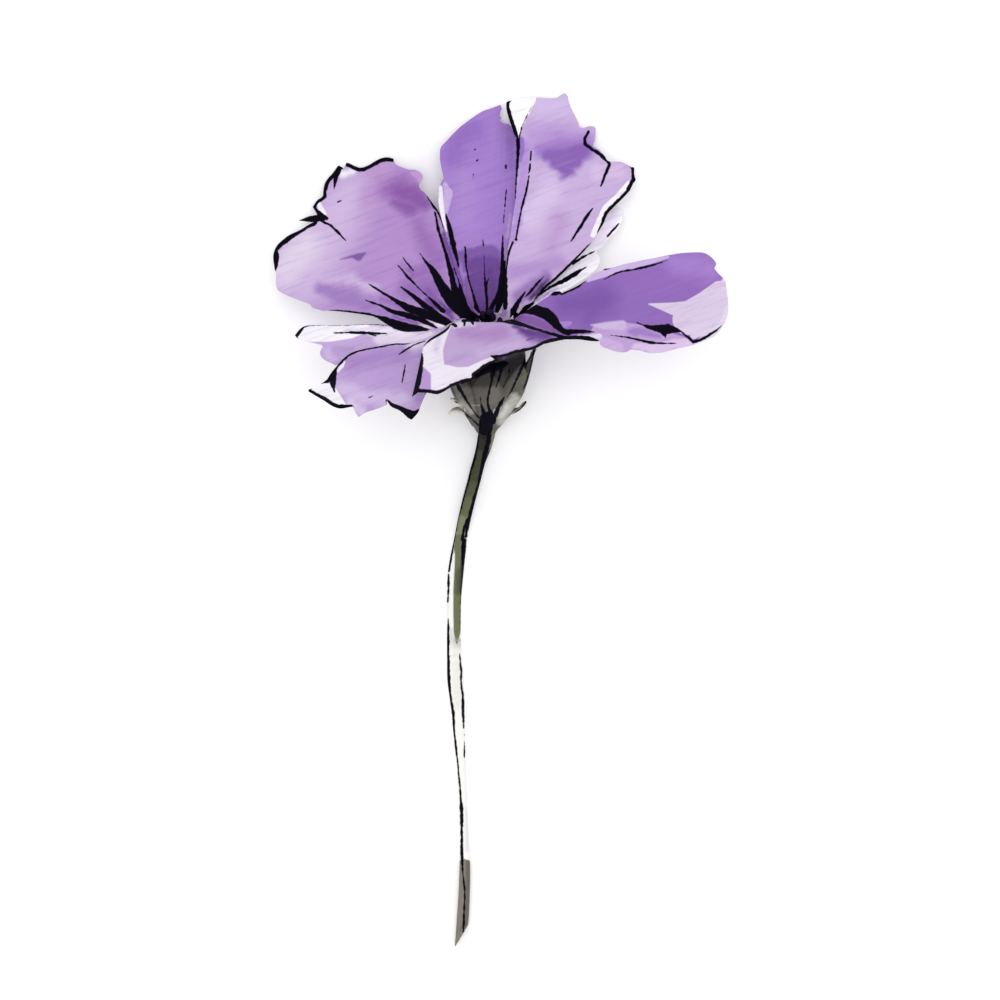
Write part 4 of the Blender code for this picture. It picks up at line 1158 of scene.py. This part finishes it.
def headBead(name, at, radius, stretch):
    # A ball in the head's frame that is stretched along the axis
    shape = bmesh.new()
    size = Matrix.Diagonal((radius, radius, radius * stretch, 1))
    place = headPlace @ Matrix.Translation(at) @ size
    bmesh.ops.create_icosphere(shape, subdivisions=3, radius=1, matrix=place)
    return newPiece(name, shape)


def stamenSkin():
    # Stamen tissue is dry and dusky: pollen grains break up its dark violet and keep it matt
    material, tree, shader = newMaterial("dusky stamen tissue")
    place = addNode(tree, "ShaderNodeTexCoord").outputs["Object"]
    grains = addNode(
        tree, "ShaderNodeTexNoise", {"Vector": place, "Scale": 1 / (heart["grain"] * mm), "Detail": 2.0},
    ).outputs[0]
    share = addNode(
        tree, "ShaderNodeMapRange", {"Value": grains, "From Min": 0.45, "From Max": 0.65},
    ).outputs[0]
    laid = {0: share, 6: hexColour(heart["tissue"]), 7: hexColour(heart["pollen"])}
    colour = addNode(tree, "ShaderNodeMix", laid, data_type="RGBA").outputs[2]
    tree.links.new(colour, shader.inputs["Base Color"])
    height = {"Height": grains, "Strength": 0.6, "Distance": heart["grainHeight"] * mm}
    tree.links.new(addNode(tree, "ShaderNodeBump", height).outputs[0], shader.inputs["Normal"])
    shader.inputs["Roughness"].default_value = heart["roughness"]
    shader.inputs["Specular IOR Level"].default_value = heart["gloss"]
    return material


def makeHeart():
    # The dome first, then the style and the stamens that grow from it
    chance = random.Random(heart["seed"])
    dome = [(radius, heart["foot"] + height) for radius, height in heart["dome"]]
    centre = newHeadPiece("heart_skin", spunBody(dome, heart["sides"]))
    root, top = heart["foot"] + heart["rootHeight"], heart["foot"] + heart["styleHeight"]
    low, middle, high = heart["styleRadii"]
    style = [(0, 0, root, low), (*heart["styleBend"], (root + top) / 2, middle), (0, 0, top, high)]
    grown = [
        headTube("style", style, heart["styleSides"]),
        headBead("stigma", Vector((0, 0, top)), heart["stigmaRadius"], heart["stigmaStretch"]),
    ]
    for i in range(heart["stamens"]):
        angle = math.tau * (i + chance.uniform(-heart["drift"], heart["drift"])) / heart["stamens"]
        x, y = math.cos(angle), math.sin(angle)
        tip = heart["foot"] + chance.uniform(*heart["tipHeights"])
        near, far = heart["rootAt"], heart["tipAt"]
        knee = near + (far - near) * heart["kneeAt"]
        rises = [(near, root), (knee, (root + tip) / 2), (far, tip)]
        line = [(x * r, y * r, h, heart["stamenRadius"]) for r, h in rises]
        end = Vector((x * far, y * far, tip))
        grown.append(headTube("filament", line, heart["stamenSides"]))
        grown.append(headBead("anther", end, heart["antherRadius"], heart["antherStretch"]))
    combine(centre, grown, "UNION")
    finishPiece(centre, "flower_centre", stamenSkin())
    print("heart", len(centre.data.polygons), "faces")


makeHeart()


# Stem: its edges in the photograph as (y, left x, right x), and its height off the surface in mm

stem = {
    "edges": [
        (425, 477.2, 495.5, 5.6), (433, 477.8, 495.2, 4.3), (447, 476, 491.2, 3.1), (460, 473, 485.8, 2.8),
        (470, 470, 483, 2.65), (480, 467.6, 480.5, 2.5), (500, 462.3, 475.2, 2.35), (520, 457.7, 470.5, 2.3),
        (540, 453.8, 467.2, 2.35), (560, 449.6, 464.7, 2.5), (580, 447, 462.7, 2.6), (600, 446.8, 461, 2.65),
        (620, 447, 460.7, 2.7), (640, 446.8, 460.8, 2.7), (660, 446.9, 461.8, 2.7), (680, 447.2, 463.2, 2.65),
        (700, 449.8, 464.4, 2.65), (720, 451.9, 465, 2.6), (740, 453.8, 465.3, 2.5), (760, 456, 465.6, 2.45),
        (780, 457.8, 466.2, 2.35), (800, 458.7, 466.8, 2.25), (820, 459.4, 467.8, 2.1),
        (840, 459.8, 468.8, 1.95), (860, 459.6, 470, 1.75), (880, 459, 470.2, 1.6), (900, 458, 469.6, 1.4),
        (920, 456.6, 468.6, 1.15), (940, 455.2, 467, 0.95), (960, 453.5, 465, 0.75),
    ],
    "sides": 36, "finer": 3,  # points of the tube for each row above
    "ridges": 5, "ridgeHeight": 0.025,
    "cutAt": (467.5, 925), "cutFaces": (0.86, -0.51, 0),
    "sharpAngle": 50,  # degrees, so that the cut end is crisp and the ridges aren't
}
stemLook = {
    "base": "#f8f7f3", "roughness": 0.65,
    "line": "#8d8a80", "lines": 0.08, "streak": "#c9c9b8", "streaks": 0.02,
    "washes": [
        ("#4e5139", 6, [[(484, 450, 9), (469, 500, 9)]]),
        ("#3a3e26", 8, [[(484, 446, 9), (477, 474, 9)]]),
        ("#24241c", 3, [[(487, 424, 12), (484.5, 438, 9), (482.5, 444, 7)]]),
        ("#121210", 8, [[(487, 426, 10), (486, 434, 6)]]),
        ("#5f6346", 6, [[(468, 505, 9), (464, 520, 8)]]),
        ("#7c8260", 5, [[(462, 522, 6), (458, 548, 5)]]),
        ("#cfcfca", 8, [[(451.6, 630, 1.4), (452.6, 641, 2.6), (456, 646, 4)]]),
        ("#e8e8e4", 6, [[(455.5, 656, 3)]]),
        ("#6a7050", 1.6, [
            [(460.6, 540, 6), (459.6, 560, 4.8), (458.6, 575, 4.5), (457.5, 590, 4.2), (457, 612, 3.8),
             (457.1, 632, 3.4), (457, 639, 2), (456.8, 643, 0.8)],
        ]),
        ("#a3a596", 5, [[(455.4, 641, 1.4), (457.6, 640, 1.4)]]),
        ("#50553a", 6, [[(459.6, 572, 3), (457.5, 590, 3.4)]]),
        ("#333818", 3, [[(463.6, 552, 2), (462.4, 570, 2.4), (460.8, 590, 1.6)]]),
        ("#efeee5", 3, [[(456, 664, 4), (457, 706, 4)]]),
        ("#e9e6ea", 3, [[(466, 808, 1), (467, 850, 2)]]),
        # painted highlight: a grey-green band along the right edge of the stem's top
        ("#77745f", 1.4, [[(494.5, 428, 1.6), (492.5, 440, 1.6), (489, 450, 1)]]),
        ("#7f7871", 2, [[(464, 866, 7), (462, 900, 8), (461, 940, 9)]]),
        ("#67615b", 1.5, [[(468, 862, 2), (467.5, 905, 2), (465, 925, 2)]]),
    ],
    "ink": [
        [(486, 421, 9), (486, 427, 8)],
        [(477.6, 428, 1), (478.4, 436, 1.2), (477.3, 446, 1.2), (475.3, 455, 1.3), (473.6, 463, 1.3),
         (470.8, 470, 1), (469, 480, 1.2), (466.2, 489, 1.1), (463.5, 498, 1), (461.3, 507, 1),
         (458.8, 515, 0.9), (457, 524, 0.7), (455.3, 533, 0.8), (453.8, 541, 0.9), (452.3, 548, 1.5),
         (450.8, 556, 1.7), (449.5, 564, 1.7), (448.8, 571, 1.3)],
        [(448.5, 574.5, 0.8), (448.5, 580, 1.2), (448.6, 588, 1.2), (448.1, 595, 1), (447.8, 602, 1)],
        [(448.3, 619, 0.4), (448.2, 628, 1.3), (448.2, 640, 1.5), (447.9, 650, 1.4), (448.3, 660, 1.6),
         (448.6, 675, 1.7), (449.3, 690, 1.9), (450.3, 697, 1.5)],
        [(450.6, 699, 1.5), (452, 706, 1.5), (453.2, 713, 1.6), (453.6, 720, 1.5), (453.8, 727, 1.2),
         (454.7, 737, 1), (455.6, 746, 1.1), (456.7, 755, 0.9), (457.9, 763, 0.8), (458.3, 770, 0.7),
         (459, 778, 1), (460, 785, 1), (460.5, 792, 1.2), (460.9, 799, 1.2), (461.3, 806, 1.8),
         (461.8, 815, 2), (461.8, 825, 1.6), (461.7, 835, 1.3), (461.8, 845, 1.6), (461.9, 855, 1.6),
         (462.3, 862, 1.3), (462.6, 870, 0.9), (463.6, 880, 0.9), (464.8, 890, 1), (464.6, 900, 0.9),
         (463.9, 912, 1.1), (463.6, 924, 1.4), (463.3, 932, 0.8)],
        [(491.5, 426, 2.6), (489.6, 435, 2.4), (487.5, 445, 2.4), (485, 455, 2.6), (483, 463, 2.2),
         (481.2, 472, 1.6), (479.4, 480, 1.5), (477, 490, 1.6), (474.5, 498, 1.9), (472.5, 506, 1.8),
         (470.3, 514, 2), (468.4, 521, 1.8), (467, 528, 1.6), (466, 536, 1.4)],
        [(467, 520, 1.4), (463.5, 531, 1.4), (462.2, 540, 1.6)],
        [(464, 541, 2.6), (463.4, 552, 2.4), (463.1, 560, 1.5), (462.6, 570, 0.9), (461.8, 580, 0.6),
         (461, 590, 0.5), (460.5, 600, 0.4), (460.4, 612, 0.4), (460.2, 630, 0.2)],
        [(459.6, 654, 0.5), (460.3, 663, 0.9), (461.3, 671, 1.2), (460.9, 680, 0.9), (461.7, 688, 1.1),
         (462.9, 696, 1.4), (463, 704, 1.5), (463.1, 713, 1.3), (463.4, 720, 1.3), (463.6, 728, 0.7)],
        [(464.4, 735, 0.6)],
        [(464.4, 742, 0.4), (464.4, 752, 0.9), (464.4, 757, 0.6)],
    ],
}


def makeStem():
    # A tube between the stem's two edges in the photograph, cut off slantwise at its foot
    points = []
    shares = np.linspace(0, 1, stem["finer"] * len(stem["edges"]))
    for y, left, right, height in curveThrough(stem["edges"], shares):
        further = 1 - height * mm / photo["cameraHeight"]
        centre = onSurface((left + right) / 2, y) * further
        radius = (right - left) / 2 * photo["pixel"] * further
        points.append((centre.x, centre.y, height * mm, radius))
    tube = sweepTube("stem_skin", points, stem["sides"], stem["ridges"], stem["ridgeHeight"])
    shape = bmesh.new()
    shape.from_mesh(tube.data)
    bmesh.ops.bisect_plane(
        shape, geom=shape.verts[:] + shape.edges[:] + shape.faces[:], plane_co=onSurface(*stem["cutAt"]),
        plane_no=stem["cutFaces"], clear_outer=True,
    )
    bmesh.ops.holes_fill(shape, edges=shape.edges, sides=0)
    bmesh.ops.triangulate(shape, faces=shape.faces)
    shape.to_mesh(tube.data)
    shape.free()
    line = np.array(points[::-1])
    places = meshPlaces(tube.data)
    below = (np.interp(places[:, 1], line[:, 1], line[:, 2]) - places[:, 2]) / photo["pixel"]
    material = paintedSkin("green stem skin", stemLook, rimInk=False)
    finishPiece(tube, "stem", material, sharpAngle=stem["sharpAngle"], behind=below)
    print("stem", len(tube.data.polygons), "faces")


makeStem()


# Floor, light and camera, in metres

studio = {
    "floorSize": 1.5, "floorPaper": 0.95, "skyStrength": 0.95,
    "boxSize": 0.9, "boxPower": 7, "boxAt": (0, 0.02, 1.4),
    "sensor": 36,  # mm
}


def makeFloor():
    # A sheet of smooth white paper: matte, and as bright as the photograph's ground
    shape = bmesh.new()
    bmesh.ops.create_grid(shape, x_segments=1, y_segments=1, size=studio["floorSize"])
    floor = newPiece("floor", shape)
    material, tree, shader = newMaterial("white paper floor")
    shader.inputs["Base Color"].default_value = hexColour("#ffffff", studio["floorPaper"])
    shader.inputs["Roughness"].default_value = 0.9
    floor.data.materials.append(material)


def makeLights():
    # An even white sky and one large softbox above the flower
    world = bpy.data.worlds.new("studio")
    bpy.context.scene.world = world
    world.use_nodes = True
    sky = world.node_tree.nodes["Background"]
    sky.inputs["Color"].default_value = (1, 1, 1, 1)
    sky.inputs["Strength"].default_value = studio["skyStrength"]
    lamp = bpy.data.lights.new("softbox", "AREA")
    lamp.shape, lamp.size, lamp.energy = "DISK", studio["boxSize"], studio["boxPower"]
    box = bpy.data.objects.new("softbox", lamp)
    box.location = studio["boxAt"]
    box.rotation_euler = (-box.location).to_track_quat("-Z", "Y").to_euler()
    bpy.context.scene.collection.objects.link(box)


def makeCamera():
    # It looks straight down, and its shift puts the frame's origin where the photograph shows it
    camera = bpy.data.cameras.new("camera")
    camera.sensor_width = studio["sensor"]
    imageWidth = photo["side"] * photo["pixel"]
    camera.lens = camera.sensor_width * photo["cameraHeight"] / imageWidth
    x, y = photo["origin"]
    camera.shift_x = (photo["side"] / 2 - x) / photo["side"]
    camera.shift_y = (y - photo["side"] / 2) / photo["side"]
    stand = bpy.data.objects.new("camera", camera)
    stand.location = (0, 0, photo["cameraHeight"])
    bpy.context.scene.collection.objects.link(stand)
    bpy.context.scene.camera = stand


makeFloor()
makeLights()
makeCamera()
bpy.context.scene.view_settings.view_transform = "Standard"
print("floor, softbox and camera")
